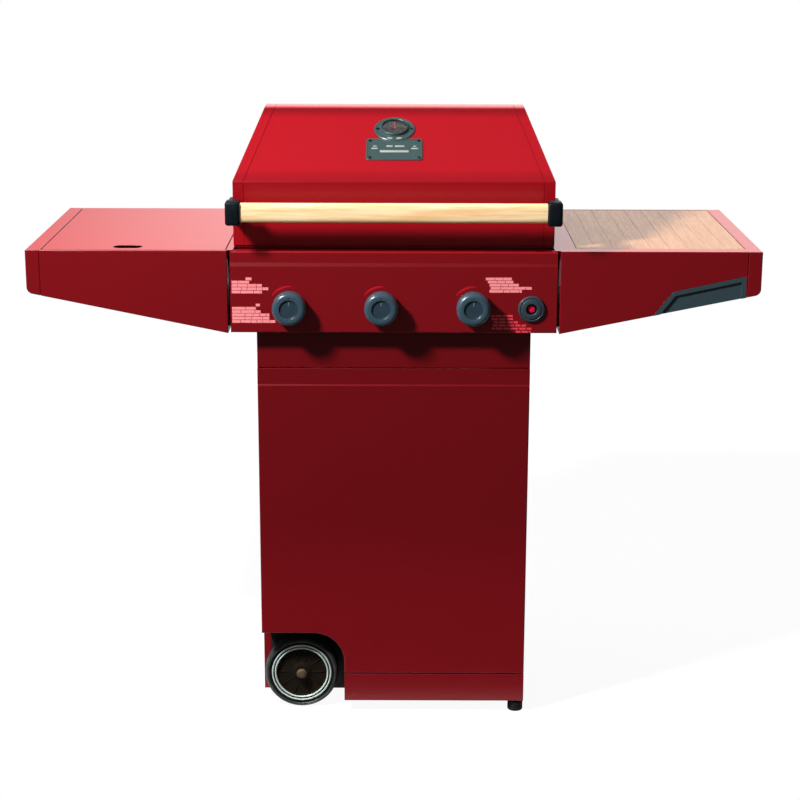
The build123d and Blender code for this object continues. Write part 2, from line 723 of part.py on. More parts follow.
with BuildPart() as storage_shell:
    add(shelf_shell.part)
    inside = (shelf_inner + sheet, shelf_seam - sheet)
    slab(inside, (shelf_back - 2, shelf_back + 1), (tray_rim_z, shelf_top + 1), Mode.SUBTRACT)
    for end, reach in ((inside[0], ledge_reach), (inside[1], -ledge_reach)):
        slab(sorted((end, end + reach)), (face + sheet, face + 465), (tray_rim_z, tray_rim_z + sheet))
        rod_x(3.0, sorted((end, end + reach * 0.6)), storage_pin_y, storage_pin_z)

with BuildPart() as left_shelf_box:
    add(storage_shell.part.mirror(Plane.YZ))
left_shelf_box.part.label = "left_shelf_box"
export_step(left_shelf_box.part, "parts/left_shelf_box.step")

with BuildPart() as right_shelf_box:
    add(shelf_shell.part)
    slab((shelf_inner, shelf_seam), (face + sheet, shelf_back), (shelf_top - sheet, shelf_top))
    slab(
        (board_left - sheet, shelf_seam), (board_front - sheet, board_back + sheet),
        (board_floor - sheet, shelf_top),
    )
    slab((board_left, board_right), (board_front, board_back), (board_floor, shelf_top + 1), Mode.SUBTRACT)
    with BuildSketch(facing(face)):
        add(grip_face)
    extrude(amount=-grip_depth, mode=Mode.SUBTRACT)
right_shelf_box.part.label = "right_shelf_box"
export_step(right_shelf_box.part, "parts/right_shelf_box.step")

with BuildPart() as carry_grip:
    with BuildSketch(facing(face)):
        add(grip_face)
    extrude(amount=-grip_depth)
    with BuildSketch(facing(face)):
        add(grip_face)
        offset(amount=-grip_rim, kind=Kind.INTERSECTION, mode=Mode.REPLACE)
    extrude(amount=-grip_recess, mode=Mode.SUBTRACT)
    with BuildSketch(facing(face + grip_recess + grip_wall)):
        add(grip_face)
        offset(amount=-grip_rim, kind=Kind.INTERSECTION, mode=Mode.REPLACE)
    extrude(amount=-(grip_depth - grip_recess - 2 * grip_wall), mode=Mode.SUBTRACT)
    with BuildSketch(facing(face - 5)):
        Polygon((400, 700), (400, shelf_floor(400)), (700, shelf_floor(700)), (700, 700), align=None)
    extrude(amount=-60, mode=Mode.SUBTRACT)
carry_grip.part.label = "carry_grip"
export_step(carry_grip.part, "parts/carry_grip.step")


def end_cap_outline(inset):
    """Front view of a shelf's outer end, with a rounded lower corner."""
    with BuildSketch() as outline:
        Polygon(
            (shelf_seam, shelf_floor(shelf_seam) + inset), (shelf_seam, shelf_top - inset),
            (shelf_outer - inset, shelf_top - inset),
            (shelf_outer - inset, shelf_floor(shelf_outer - inset) + inset), align=None,
        )
        outer_low = outline.vertices().group_by(Axis.X)[-1].sort_by(Axis.Y)[0]
        fillet(outer_low, shelf_corner + 4 - inset)
    return outline.sketch


cap_face, cap_hollow = end_cap_outline(0), end_cap_outline(2.5)

with BuildPart() as end_cap:
    with BuildSketch(facing(face)):
        add(cap_face)
    extrude(amount=-shelf_depth)
    fillet(end_cap.faces().sort_by(Axis.X)[-1].edges(), 2)
    seam_edge = end_cap.edges().filter_by(Axis.Z).group_by(Axis.X)[0].sort_by(Axis.Y)[0]
    chamfer(seam_edge, bend)
    with BuildSketch(facing(face + 2.5)):
        add(cap_hollow)
    extrude(amount=-(shelf_depth - 5), mode=Mode.SUBTRACT)

with BuildPart() as right_shelf_cap:
    add(end_cap.part)
right_shelf_cap.part.label = "right_shelf_cap"
export_step(right_shelf_cap.part, "parts/right_shelf_cap.step")

with BuildPart() as left_shelf_cap:
    add(end_cap.part.mirror(Plane.YZ))
left_shelf_cap.part.label = "left_shelf_cap"
export_step(left_shelf_cap.part, "parts/left_shelf_cap.step")

board_gap = 1.0

with BuildPart() as cutting_board:
    slab(
        (board_left + board_gap, board_right - board_gap),
        (board_front + board_gap, board_back - 2 * board_gap),
        (board_floor, shelf_top),
    )
    fillet(cutting_board.faces().sort_by(Axis.Z)[-1].edges(), 1.5)
cutting_board.part.label = "cutting_board"
export_step(cutting_board.part, "parts/cutting_board.step")

lid_inner_x = shelf_inner + sheet + 1.5
lid_outer_x = shelf_seam - sheet - 1.5

with BuildPart() as storage_lid:
    slab((-lid_outer_x, -lid_inner_x), (face + lip + 1, shelf_back), (shelf_top - lid_drop, shelf_top))
    fillet(storage_lid.faces().sort_by(Axis.Z)[-1].edges(), 1.2)
    slab(
        (-lid_outer_x + sheet, -lid_inner_x - sheet), (face + lip + 1 + sheet, shelf_back - sheet),
        (shelf_top - lid_drop - 1, shelf_top - sheet), Mode.SUBTRACT,
    )
    with BuildSketch(Plane.XY.offset(shelf_top - 4)):
        with Locations((-finger_x, finger_y)):
            SlotOverall(2 * storage_half_hole, 30)
    extrude(amount=6, mode=Mode.SUBTRACT)
    rod_x(3 + running_gap, (-lid_outer_x - 1, -lid_outer_x + 4), storage_pin_y, storage_pin_z, Mode.SUBTRACT)
    rod_x(3 + running_gap, (-lid_inner_x - 4, -lid_inner_x + 1), storage_pin_y, storage_pin_z, Mode.SUBTRACT)
storage_lid.part.label = "storage_lid"
export_step(storage_lid.part, "parts/storage_lid.step")

bin_outer, bin_inner = 638.0, 323.0
bin_front, bin_back = face + 12, face + 462
bin_low = 852.0

with BuildPart() as storage_tray:
    slab((-bin_outer, -bin_inner), (bin_front, bin_back), (bin_low, tray_rim_z + sheet))
    slab(
        (-bin_outer - 8, -bin_inner + 8), (bin_front, bin_back),
        (tray_rim_z + sheet, tray_rim_z + 2 * sheet),
    )
    slab(
        (-bin_outer + 2, -bin_inner - 2), (bin_front + 2, bin_back - 2),
        (bin_low + 2, tray_rim_z + 2 * sheet + 1), Mode.SUBTRACT,
    )
storage_tray.part.label = "storage_tray"
export_step(storage_tray.part, "parts/storage_tray.step")

# ---------------------------------------------------------------- side frames and bolts
frame_front, frame_back = face + 64, face + 440
frame_sheet = 3.0

with BuildPart() as side_frames:
    for side in (-1, 1):
        web = sorted((side * shelf_inner, side * (shelf_inner - frame_sheet)))
        slab(web, (frame_front, frame_back), (cabinet_top, 920))
        slab(sorted((side * shelf_inner, side * fire_half)), (frame_front, frame_back), (917, 920))
        slab(sorted((side * shelf_inner, side * 242)), (frame_front, frame_back), (cabinet_top, fire_floor))
        for y, z in bolt_spots:
            reach = sorted((side * (shelf_inner + 1), side * (shelf_inner - frame_sheet - 1)))
            rod_x(bolt_radius + 0.2, reach, y, z, Mode.SUBTRACT)
side_frames.part.label = "side_frames"
export_step(side_frames.part, "parts/side_frames.step")

with BuildPart() as shelf_bolts:
    for side in (-1, 1):
        for y, z in bolt_spots:
            rod_x(bolt_radius, sorted((side * 300, side * (shelf_inner + sheet))), y, z)
            rod_x(6.0, sorted((side * (shelf_inner + sheet), side * (shelf_inner + sheet + 4))), y, z)
            rod_x(5.5, sorted((side * 300, side * (shelf_inner - frame_sheet))), y, z)
shelf_bolts.part.label = "shelf_bolts"
export_step(shelf_bolts.part, "parts/shelf_bolts.step")

# ---------------------------------------------------------------- lid


def lid_form(inset):
    """Solid inside the lid's skin, drawn in by inset and open below its rim."""
    low = lid_bottom - 2 * inset
    with BuildPart() as form:
        with BuildSketch(Plane.YZ):
            with BuildLine():
                Polyline(
                    (lid_front, low), (lid_front, lid_crease), (slope_top_y, height), (flat_end_y, height),
                    (lid_back, lid_shoulder), (lid_back, low), (lid_front, low),
                )
            make_face()
            if inset:
                offset(amount=-inset, kind=Kind.INTERSECTION, mode=Mode.REPLACE)
        extrude(amount=lid_half, both=True)
        top_edges = form.edges().filter_by(Axis.X).group_by(Axis.Z)[-1]
        fillet(top_edges, 60 - inset)
        shoulder = form.edges().filter_by(Axis.X).group_by(Axis.Y)[-1].sort_by(Axis.Z)[-1]
        fillet(shoulder, 40 - inset)
        crease = form.edges().filter_by(Axis.X).group_by(Axis.Y)[0].sort_by(Axis.Z)[-1]
        fillet(crease, 6 - inset)
        with BuildSketch(facing(lid_back + 10)):
            add(end_outline(inset))
        extrude(amount=lid_back - lid_front + 20, mode=Mode.INTERSECT)
    return form.part


def end_outline(inset):
    """Front view of the lid: upright to the crease, then drawn in towards the top."""
    bottom = lid_half - inset
    top = lid_top_half - inset
    with BuildSketch() as outline:
        Polygon(
            (-bottom, lid_bottom - 20), (-bottom, lid_crease), (-top, height), (-top, height + 1),
            (top, height + 1), (top, height), (bottom, lid_crease), (bottom, lid_bottom - 20), align=None,
        )
    return outline.sketch


def lid_core(inset):
    """Everything nearer the middle than inset from the lid's ends."""
    with BuildPart() as core:
        with BuildSketch(facing(lid_back + 60)):
            add(end_outline(inset))
        extrude(amount=depth)
    return core.part


lid_outer = lid_form(0)
lid_inner = lid_form(lid_sheet)
cap_outer = lid_form(lid_sheet + 0.2)
cap_inner = lid_form(lid_sheet + 1.5)
seam_outside = lid_core(end_strip - lid_seam_gap / 2)
seam_inside = lid_core(end_strip + lid_seam_gap / 2)
flange_inside = lid_core(end_strip + 12)
gauge_x, gauge_y = 0.0, face + 181
plate_x, plate_y = 0.0, face + 121.5
gauge_radius = 39.0


def on_slope(x, y, rise=0.0):
    """The plane on the lid's front slope at x and y, raised along its normal."""
    z = lid_crease + (y - lid_front) * math.tan(slope)
    plane = Plane(origin=(x, y, z), x_dir=(1, 0, 0), z_dir=(0, -math.sin(slope), math.cos(slope)))
    return plane.offset(rise)


lug_half = 4.0
lug_front, lug_back = face + 457, face + 473

with BuildPart() as lid_skin:
    add(lid_outer)
    add(lid_inner, mode=Mode.SUBTRACT)
    add(seam_inside, mode=Mode.INTERSECT)
    with BuildSketch(on_slope(gauge_x, gauge_y, -20)):
        Circle(6)
    extrude(amount=40, mode=Mode.SUBTRACT)
    for side in (-1, 1):
        x = side * hinge_x
        slab((x - lug_half, x + lug_half), (lid_back - 1, lug_back), (940, 960))
        slab((x - lug_half, x + lug_half), (lug_front, lug_back), (918, 941))
        rod_x(hinge_pin_radius + running_gap, (x - 10, x + 10), hinge_y, hinge_z, Mode.SUBTRACT)
    chamfer(lid_skin.edges().filter_by(Axis.X).filter_by_position(Axis.Y, lug_back - 0.1, lug_back + 0.1), 5)
lid_skin.part.label = "lid_skin"
export_step(lid_skin.part, "parts/lid_skin.step")

with BuildPart() as lid_ends:
    add(lid_outer)
    add(cap_inner, mode=Mode.SUBTRACT)
    add(seam_outside, mode=Mode.SUBTRACT)

with BuildPart() as lid_flanges:
    add(cap_outer)
    add(cap_inner, mode=Mode.SUBTRACT)
    add(flange_inside, mode=Mode.SUBTRACT)
    slab((-lid_half, lid_half), (lid_front, lid_back), (lid_bottom - 10, lid_bottom), Mode.SUBTRACT)

for name, keep in (("left", Keep.BOTTOM), ("right", Keep.TOP)):
    with BuildPart() as lid_end:
        add(lid_ends.part)
        add(lid_flanges.part)
        split(bisect_by=Plane.YZ, keep=keep)
    lid_end.part.label = f"lid_end_{name}"
    export_step(lid_end.part, f"parts/lid_end_{name}.step")

cheek = 4.0
cheek_gap = 1.0

with BuildPart() as lid_hinges:
    for side in (-1, 1):
        for cheek_side in (-1, 1):
            start = side * hinge_x + cheek_side * (lug_half + cheek_gap)
            x = sorted((start, start + cheek_side * cheek))
            rod_x(9.0, x, hinge_y, hinge_z)
            slab(x, (fire_back, hinge_y), (hinge_z - 9, hinge_z + 2))
        span = lug_half + cheek_gap + cheek + 2
        rod_x(hinge_pin_radius, (side * hinge_x - span, side * hinge_x + span), hinge_y, hinge_z)
        slab((side * hinge_x - 15, side * hinge_x + 15), (fire_back, fire_back + 3), (900, hinge_z - 2))
lid_hinges.part.label = "lid_hinges"
export_step(lid_hinges.part, "parts/lid_hinges.step")

handle_half = 279.0
handle_y = (face - 40, face - 17)
handle_z = (985.0, 1020.0)
handle_corner = 8.0

with BuildPart() as lid_handle:
    slab((-handle_half, handle_half), handle_y, handle_z)
    fillet(lid_handle.edges().filter_by(Axis.X), handle_corner)
lid_handle.part.label = "lid_handle"
export_step(lid_handle.part, "parts/lid_handle.step")

block_end = 306.0
block_y, block_z = (face - handle_reach, face - 10), (980.0, 1024.0)
arm_y, arm_z = (face - 20, face + 70), (988.0, 1016.0)

with BuildPart() as handle_blocks:
    for side in (-1, 1):
        slab(sorted((side * handle_half, side * block_end)), block_y, block_z)
    fillet(handle_blocks.edges().filter_by(Axis.X), handle_corner)
    for side in (-1, 1):
        slab(sorted((side * lid_half, side * block_end)), arm_y, arm_z)
handle_blocks.part.label = "handle_blocks"
export_step(handle_blocks.part, "parts/handle_blocks.step")

dial_rise, needle_rise, glass_rise, case_rise = 4.0, 5.0, 7.0, 8.5
flange_rise = 3.0
barrel_radius = 26.0
dial_radius = 24.0
needle_length, needle_tail, needle_width = 19.0, 5.0, 3.0
gauge_stem_radius, gauge_stem_length = 4.0, 50.0
gauge_pin_radius = 1.5

with BuildPart() as gauge_case:
    with BuildSketch(on_slope(gauge_x, gauge_y)):
        Circle(gauge_radius)
    extrude(amount=flange_rise)
    with BuildSketch(on_slope(gauge_x, gauge_y)):
        Circle(barrel_radius)
    extrude(amount=case_rise)
    with BuildSketch(on_slope(gauge_x, gauge_y, dial_rise)):
        Circle(dial_radius)
    extrude(amount=10, mode=Mode.SUBTRACT)
    with BuildSketch(on_slope(gauge_x, gauge_y, -gauge_stem_length)):
        Circle(gauge_stem_radius)
    extrude(amount=gauge_stem_length)
    with BuildSketch(on_slope(gauge_x, gauge_y, dial_rise)):
        Circle(gauge_pin_radius)
    extrude(amount=2.4)
gauge_case.part.label = "gauge_case"
export_step(gauge_case.part, "parts/gauge_case.step")

with BuildPart() as gauge_needle:
    with BuildSketch(on_slope(gauge_x, gauge_y, needle_rise)):
        Circle(3.5)
        with Locations((0, (needle_length - needle_tail) / 2)):
            Rectangle(needle_width, needle_length + needle_tail)
        Circle(gauge_pin_radius + running_gap, mode=Mode.SUBTRACT)
    extrude(amount=1)
gauge_needle.part.label = "gauge_needle"
export_step(gauge_needle.part, "parts/gauge_needle.step")

with BuildPart() as gauge_glass:
    with BuildSketch(on_slope(gauge_x, gauge_y, glass_rise)):
        Circle(dial_radius)
    extrude(amount=1)
gauge_glass.part.label = "gauge_glass"
export_step(gauge_glass.part, "parts/gauge_glass.step")

plate_width, plate_height, plate_thick = 106.0, 70.0, 2.0

with BuildPart() as lid_plate:
    with BuildSketch(on_slope(plate_x, plate_y)):
        RectangleRounded(plate_width, plate_height, 5)
        with Locations((0, (gauge_y - plate_y) / math.cos(slope))):
            Circle(gauge_radius + 0.5, mode=Mode.SUBTRACT)
    extrude(amount=plate_thick)
lid_plate.part.label = "lid_plate"
export_step(lid_plate.part, "parts/lid_plate.step")

with BuildPart() as plate_screws:
    with BuildSketch(on_slope(plate_x, plate_y, plate_thick)):
        with GridLocations(plate_width - 14, plate_height - 14, 2, 2):
            Circle(3.2)
    extrude(amount=1.6)
plate_screws.part.label = "plate_screws"
export_step(plate_screws.part, "parts/plate_screws.step")
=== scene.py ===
import json
import math
import random

import bmesh
import bpy
from mathutils import Matrix, Vector

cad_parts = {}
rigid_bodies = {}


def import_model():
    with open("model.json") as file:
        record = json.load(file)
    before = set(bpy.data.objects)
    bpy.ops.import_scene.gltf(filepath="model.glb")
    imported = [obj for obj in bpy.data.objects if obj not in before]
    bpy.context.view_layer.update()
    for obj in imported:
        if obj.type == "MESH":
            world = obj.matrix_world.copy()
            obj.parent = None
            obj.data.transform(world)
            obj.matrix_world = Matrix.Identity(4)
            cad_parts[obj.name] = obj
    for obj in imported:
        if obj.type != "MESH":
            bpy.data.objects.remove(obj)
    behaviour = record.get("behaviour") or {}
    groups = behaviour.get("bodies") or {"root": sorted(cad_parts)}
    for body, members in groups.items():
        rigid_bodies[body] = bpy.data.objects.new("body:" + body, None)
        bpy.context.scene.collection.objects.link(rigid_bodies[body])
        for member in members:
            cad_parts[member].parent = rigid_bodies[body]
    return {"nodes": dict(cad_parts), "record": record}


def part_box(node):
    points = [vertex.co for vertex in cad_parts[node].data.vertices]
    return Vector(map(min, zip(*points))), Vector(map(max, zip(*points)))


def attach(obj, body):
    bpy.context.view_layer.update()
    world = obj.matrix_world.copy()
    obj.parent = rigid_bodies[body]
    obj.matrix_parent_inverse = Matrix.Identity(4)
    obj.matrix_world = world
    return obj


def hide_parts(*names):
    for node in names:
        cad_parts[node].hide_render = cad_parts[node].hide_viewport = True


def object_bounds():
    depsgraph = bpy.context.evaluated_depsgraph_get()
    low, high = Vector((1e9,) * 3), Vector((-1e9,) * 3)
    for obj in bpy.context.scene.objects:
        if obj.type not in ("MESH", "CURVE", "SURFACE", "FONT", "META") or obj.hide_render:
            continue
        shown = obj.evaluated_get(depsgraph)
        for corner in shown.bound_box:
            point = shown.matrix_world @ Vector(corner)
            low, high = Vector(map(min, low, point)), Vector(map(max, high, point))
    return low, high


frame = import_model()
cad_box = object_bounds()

# The looks of a gas barbecue grill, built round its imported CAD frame. Metres, +Z up, and the
# grill faces -Y. Every mesh is made in the frame's own coordinates.

MM = 0.001
nodes = frame["nodes"]


def tint(red, green, blue):
    """A colour given as 0-255 display values, as linear values with an alpha of 1."""
    linear = []
    for level in (red, green, blue):
        share = level / 255
        linear.append(share / 12.92 if share <= 0.04045 else ((share + 0.055) / 1.055) ** 2.4)
    return (*linear, 1.0)


def shade(colour, share):
    """A colour with its channels multiplied by a share."""
    return tuple(channel * share for channel in colour[:3]) + (1,)


# ---------------------------------------------------------------- material kit
class Look:
    """One node material. Each method adds nodes and returns an output socket."""

    def __init__(self, name, **sockets):
        self.material = bpy.data.materials.new(name)
        self.material.use_nodes = True
        self.tree = self.material.node_tree
        self.surface = self.tree.nodes["Principled BSDF"]
        self.place = self.tree.nodes.new("ShaderNodeTexCoord").outputs["Object"]
        for socket, value in sockets.items():
            self.put(socket, value)

    def add(self, kind):
        """Adds a node of one kind."""
        return self.tree.nodes.new("ShaderNode" + kind)

    def feed(self, node, socket, value):
        """Sets one input of a node to a value, or links an output to it."""
        target = node.inputs[socket]
        if isinstance(value, bpy.types.NodeSocket):
            self.tree.links.new(value, target)
        else:
            target.default_value = value

    def put(self, socket, value):
        """Sets or links one input of the surface."""
        self.feed(self.surface, socket, value)

    def stretched(self, stretch):
        """The frame's coordinates, scaled along each axis."""
        node = self.add("Mapping")
        self.feed(node, "Vector", self.place)
        self.feed(node, "Scale", stretch)
        return node.outputs["Vector"]

    def noise(self, size, detail=3.0, rough=0.5, stretch=(1, 1, 1), distortion=0.0):
        """Noise whose patches are about size metres across."""
        node = self.add("TexNoise")
        self.feed(node, "Vector", self.stretched(stretch))
        self.feed(node, "Scale", 1 / size)
        self.feed(node, "Detail", detail)
        self.feed(node, "Roughness", rough)
        self.feed(node, "Distortion", distortion)
        return node.outputs["Fac"]

    def cells(self, size, output="Distance", stretch=(1, 1, 1)):
        """A cell pattern with cells of about size metres."""
        node = self.add("TexVoronoi")
        self.feed(node, "Vector", self.stretched(stretch))
        self.feed(node, "Scale", 1 / size)
        return node.outputs[output]

    def facing(self, axis):
        """How far the surface faces along X, Y or Z, from -1 to 1."""
        node = self.add("SeparateXYZ")
        self.feed(node, "Vector", self.add("TexCoord").outputs["Normal"])
        return node.outputs[axis]

    def position(self, axis):
        """The place along one of the frame's axes, in metres."""
        node = self.add("SeparateXYZ")
        self.feed(node, "Vector", self.place)
        return node.outputs[axis]

    def brightness(self, colour):
        """How bright a colour is, from 0 to 1."""
        node = self.add("RGBToBW")
        self.feed(node, "Color", colour)
        return node.outputs["Val"]

    def span(self, value, low, high, out_low=0.0, out_high=1.0, smooth=True):
        """Maps low..high to out_low..out_high, clamped."""
        node = self.add("MapRange")
        node.interpolation_type = "SMOOTHSTEP" if smooth else "LINEAR"
        self.feed(node, "Value", value)
        self.feed(node, "From Min", low)
        self.feed(node, "From Max", high)
        self.feed(node, "To Min", out_low)
        self.feed(node, "To Max", out_high)
        return node.outputs["Result"]

    def sums(self, operation, first, second):
        """Arithmetic on two values, such as ADD or MULTIPLY."""
        node = self.add("Math")
        node.operation = operation
        self.feed(node, 0, first)
        self.feed(node, 1, second)
        return node.outputs["Value"]

    def mix(self, share, first, second, blend="MIX"):
        """A colour between two colours."""
        node = self.add("Mix")
        node.data_type = "RGBA"
        node.blend_type = blend
        self.feed(node, 0, share)
        self.feed(node, 6, first)
        self.feed(node, 7, second)
        return node.outputs[2]

    def relief(self, height, depth, edge=0.0):
        """A bump of a depth in metres, over corners that look rounded to the radius edge."""
        node = self.add("Bump")
        self.feed(node, "Height", height)
        self.feed(node, "Distance", depth)
        self.feed(node, "Strength", 1.0)
        if edge:
            corners = self.add("Bevel")
            corners.samples = 4
            self.feed(corners, "Radius", edge)
            self.feed(node, "Normal", corners.outputs["Normal"])
        return node.outputs["Normal"]


def enamel(name, colour, gloss=0.3, painted_light_top=None, painted_light_bands=()):
    """Baked enamel: faint cloudiness, orange peel and dust specks.

    The colour given for upward faces is painted light: a lighter red on the tops. Each height band
    given is (start, end, share) and paints light and shade: between the heights start and end the
    colour's brightness changes smoothly to that share, and beyond end it stays there.
    """
    cloud_size, peel_size, peel_depth = 350 * MM, 5 * MM, 0.0015 * MM
    speck_size, speck_strength, speck_colour = 2.2 * MM, 0.12, tint(40, 6, 9)
    look = Look(name, Roughness=gloss)
    cloud = look.noise(cloud_size, detail=2)
    body = look.mix(cloud, shade(colour, 0.96), shade(colour, 1.03))
    # Painted light: upward faces are painted the lighter colour.
    if painted_light_top:
        body = look.mix(look.span(look.facing("Z"), 0.9, 0.99), body, painted_light_top)
    # Painted light and shade by height: each band brightens or darkens the colour.
    for start, end, share in painted_light_bands:
        band = look.span(look.position("Z"), start, end, 1.0, share)
        body = look.mix(1.0, body, band, "MULTIPLY")
    speck = look.span(look.noise(speck_size, detail=0), 0.78, 0.84)
    look.put("Base Color", look.mix(look.sums("MULTIPLY", speck, speck_strength), body, speck_colour))
    look.put("Normal", look.relief(look.noise(peel_size, detail=1), peel_depth, edge=1.6 * MM))
    return look.material


def moulded(name, colour, gloss, depth=0.03 * MM, wear=(70, 78, 80)):
    """Moulded plastic: fine spark-eroded grain, slightly paler where it has rubbed."""
    rub_size, sheen_size, grain_size = 25 * MM, 12 * MM, 0.9 * MM
    look = Look(name, Roughness=gloss)
    rub = look.span(look.noise(rub_size, detail=5, rough=0.65), 0.56, 0.8)
    look.put("Base Color", look.mix(look.sums("MULTIPLY", rub, 0.25), colour, tint(*wear)))
    sheen = look.noise(sheen_size, detail=3)
    look.put("Roughness", look.span(sheen, 0.3, 0.7, gloss - 0.05, gloss + 0.08))
    look.put("Normal", look.relief(look.cells(grain_size), depth, edge=0.5 * MM))
    return look.material


def brushed(name, colour, gloss, stretch):
    """Brushed or rolled metal, with fine lines along the axis whose stretch is smallest."""
    line_width, line_depth, cloud_size = 0.5 * MM, 0.01 * MM, 50 * MM
    look = Look(name, Metallic=1.0, Roughness=gloss)
    lines = look.noise(line_width, detail=2, stretch=stretch)
    cloud = look.noise(cloud_size, detail=3)
    look.put("Base Color", look.mix(cloud, shade(colour, 0.8), colour))
    look.put("Roughness", look.span(lines, 0.25, 0.75, gloss - 0.08, gloss + 0.12))
    look.put("Normal", look.relief(lines, line_depth, edge=0.3 * MM))
    return look.material


def spangled(name, colour):
    """Galvanised sheet: large flat crystals of different greys."""
    gloss, gloss_change, crystal_size, ripple_size = 0.42, 0.1, 9 * MM, 4 * MM
    look = Look(name, Metallic=1.0, Roughness=gloss)
    grey = look.brightness(look.cells(crystal_size, output="Color"))
    look.put("Base Color", look.mix(grey, shade(colour, 0.72), colour))
    look.put("Roughness", look.span(grey, 0, 1, gloss - gloss_change, gloss + gloss_change, smooth=False))
    look.put("Normal", look.relief(look.noise(ripple_size), 0.02 * MM, edge=0.3 * MM))
    return look.material


def cast_with_painted_rim(name, metal, paint, rim_low):
    """Sooty cast metal whose rim, from the height rim_low up, is painted to match the lid."""
    sand_size, soot = 1.4 * MM, tint(30, 29, 28)
    look = Look(name)
    sand = look.noise(sand_size, detail=4, rough=0.6)
    painted = look.span(look.position("Z"), rim_low, rim_low + 1 * MM)
    look.put("Base Color", look.mix(painted, look.mix(sand, soot, metal), paint))
    look.put("Roughness", look.span(painted, 0, 1, 0.7, 0.35))
    look.put("Normal", look.relief(sand, 0.06 * MM, edge=0.8 * MM))
    return look.material


def grate_coat(name):
    """Matt porcelain on cast iron, greyed in patches by heat."""
    heat_size, pit_size, pit_depth = 30 * MM, 1.2 * MM, 0.08 * MM
    look = Look(name)
    heat = look.span(look.noise(heat_size, detail=5), 0.45, 0.7)
    look.put("Base Color", look.mix(heat, tint(24, 24, 25), tint(58, 55, 52)))
    look.put("Roughness", look.span(heat, 0, 1, 0.42, 0.7))
    look.put("Normal", look.relief(look.noise(pit_size, detail=3), pit_depth, edge=0.5 * MM))
    return look.material


def timber(name, pale, dark, grain_axis, gloss, coat=0.0, stave=None):
    """Planed wood with growth rings, fine fibres and pores along one axis.

    With stave, the width of one stave, neighbouring staves differ a little in tone.
    """
    ring_width, fibre_width, pore_width, fibre_depth = 6 * MM, 0.7 * MM, 1.1 * MM, 0.008 * MM
    look = Look(name, Roughness=gloss)
    look.put("Coat Weight", coat)
    look.put("Coat Roughness", 0.12)
    axis = "XYZ".index(grain_axis)
    slow = tuple(0.06 if index == axis else 1.0 for index in range(3))
    fine = tuple(0.02 if index == axis else 1.0 for index in range(3))
    rings = look.noise(ring_width, detail=2, stretch=slow, distortion=0.25)
    fibre = look.noise(fibre_width, detail=3, stretch=fine)
    pores = look.span(look.noise(pore_width, detail=1, stretch=fine), 0.66, 0.74)
    share = look.sums("ADD", look.sums("MULTIPLY", rings, 0.75), look.sums("MULTIPLY", fibre, 0.3))
    if stave:
        tone = look.brightness(look.cells(stave, output="Color", stretch=(1, 0, 0)))
        share = look.sums("ADD", share, look.sums("MULTIPLY", tone, 0.12))
    body = look.mix(look.span(share, 0.38, 0.72), pale, dark)
    look.put("Base Color", look.mix(look.sums("MULTIPLY", pores, 0.2), body, dark, "MULTIPLY"))
    look.put("Roughness", look.span(fibre, 0.3, 0.7, gloss - 0.06, gloss + 0.1))
    look.put("Normal", look.relief(fibre, fibre_depth, edge=0.6 * MM))
    return look.material


def rubber(name):
    """Tyre rubber with faint dust and scuffs."""
    dust_size, dust_strength, pit_size, pit_depth = 18 * MM, 0.4, 0.8 * MM, 0.04 * MM
    clean, dusty = tint(40, 47, 47), tint(84, 88, 84)
    look = Look(name)
    dust = look.span(look.noise(dust_size, detail=5, rough=0.65), 0.5, 0.72)
    look.put("Base Color", look.mix(look.sums("MULTIPLY", dust, dust_strength), clean, dusty))
    look.put("Roughness", look.span(dust, 0, 1, 0.38, 0.75))
    look.put("Normal", look.relief(look.noise(pit_size, detail=3), pit_depth, edge=0.6 * MM))
    return look.material


def dull(material, socket, number):
    """Makes a finished look mirror less, by one number of its surface."""
    material.node_tree.nodes["Principled BSDF"].inputs[socket].default_value = number


def paint_spot(name, colour, gloss=0.35):
    """Screen-printed or brushed-on paint, uneven at a small scale."""
    patch_size, patch_depth = 1.5 * MM, 0.01 * MM
    look = Look(name, Roughness=gloss)
    patch = look.noise(patch_size, detail=3)
    look.put("Base Color", look.mix(patch, shade(colour, 0.8), colour))
    look.put("Normal", look.relief(patch, patch_depth))
    return look.material


def clear_glass(name):
    """Thin flat glass with faint fingerprints."""
    smear_size = 9 * MM
    look = Look(name, IOR=1.12)
    look.put("Transmission Weight", 1.0)
    smear = look.span(look.noise(smear_size, detail=4), 0.5, 0.75)
    look.put("Base Color", look.mix(smear, (1, 1, 1, 1), (0.9, 0.93, 0.92, 1)))
    look.put("Roughness", look.span(smear, 0, 1, 0.02, 0.12))
    return look.material


def glazed(name):
    """Glazed ceramic with a warm speckle."""
    speckle_size, ripple_size, ripple_depth = 1.5 * MM, 2 * MM, 0.02 * MM
    look = Look(name, Roughness=0.25)
    look.put("Base Color", look.mix(look.noise(speckle_size), tint(214, 208, 194), tint(238, 234, 224)))
    look.put("Normal", look.relief(look.noise(ripple_size), ripple_depth))
    return look.material


red = (0.175, 0.0022, 0.0056, 1.0)
# The lid's red is a brighter copy of the cabinet's red: painted light on the lid.
painted_light_lid_red = (0.295, 0.0022, 0.0074, 1.0)
# The lighter red of the shelf tops' upward faces is painted light.
painted_light_top_red = (0.42, 0.012, 0.016, 1.0)
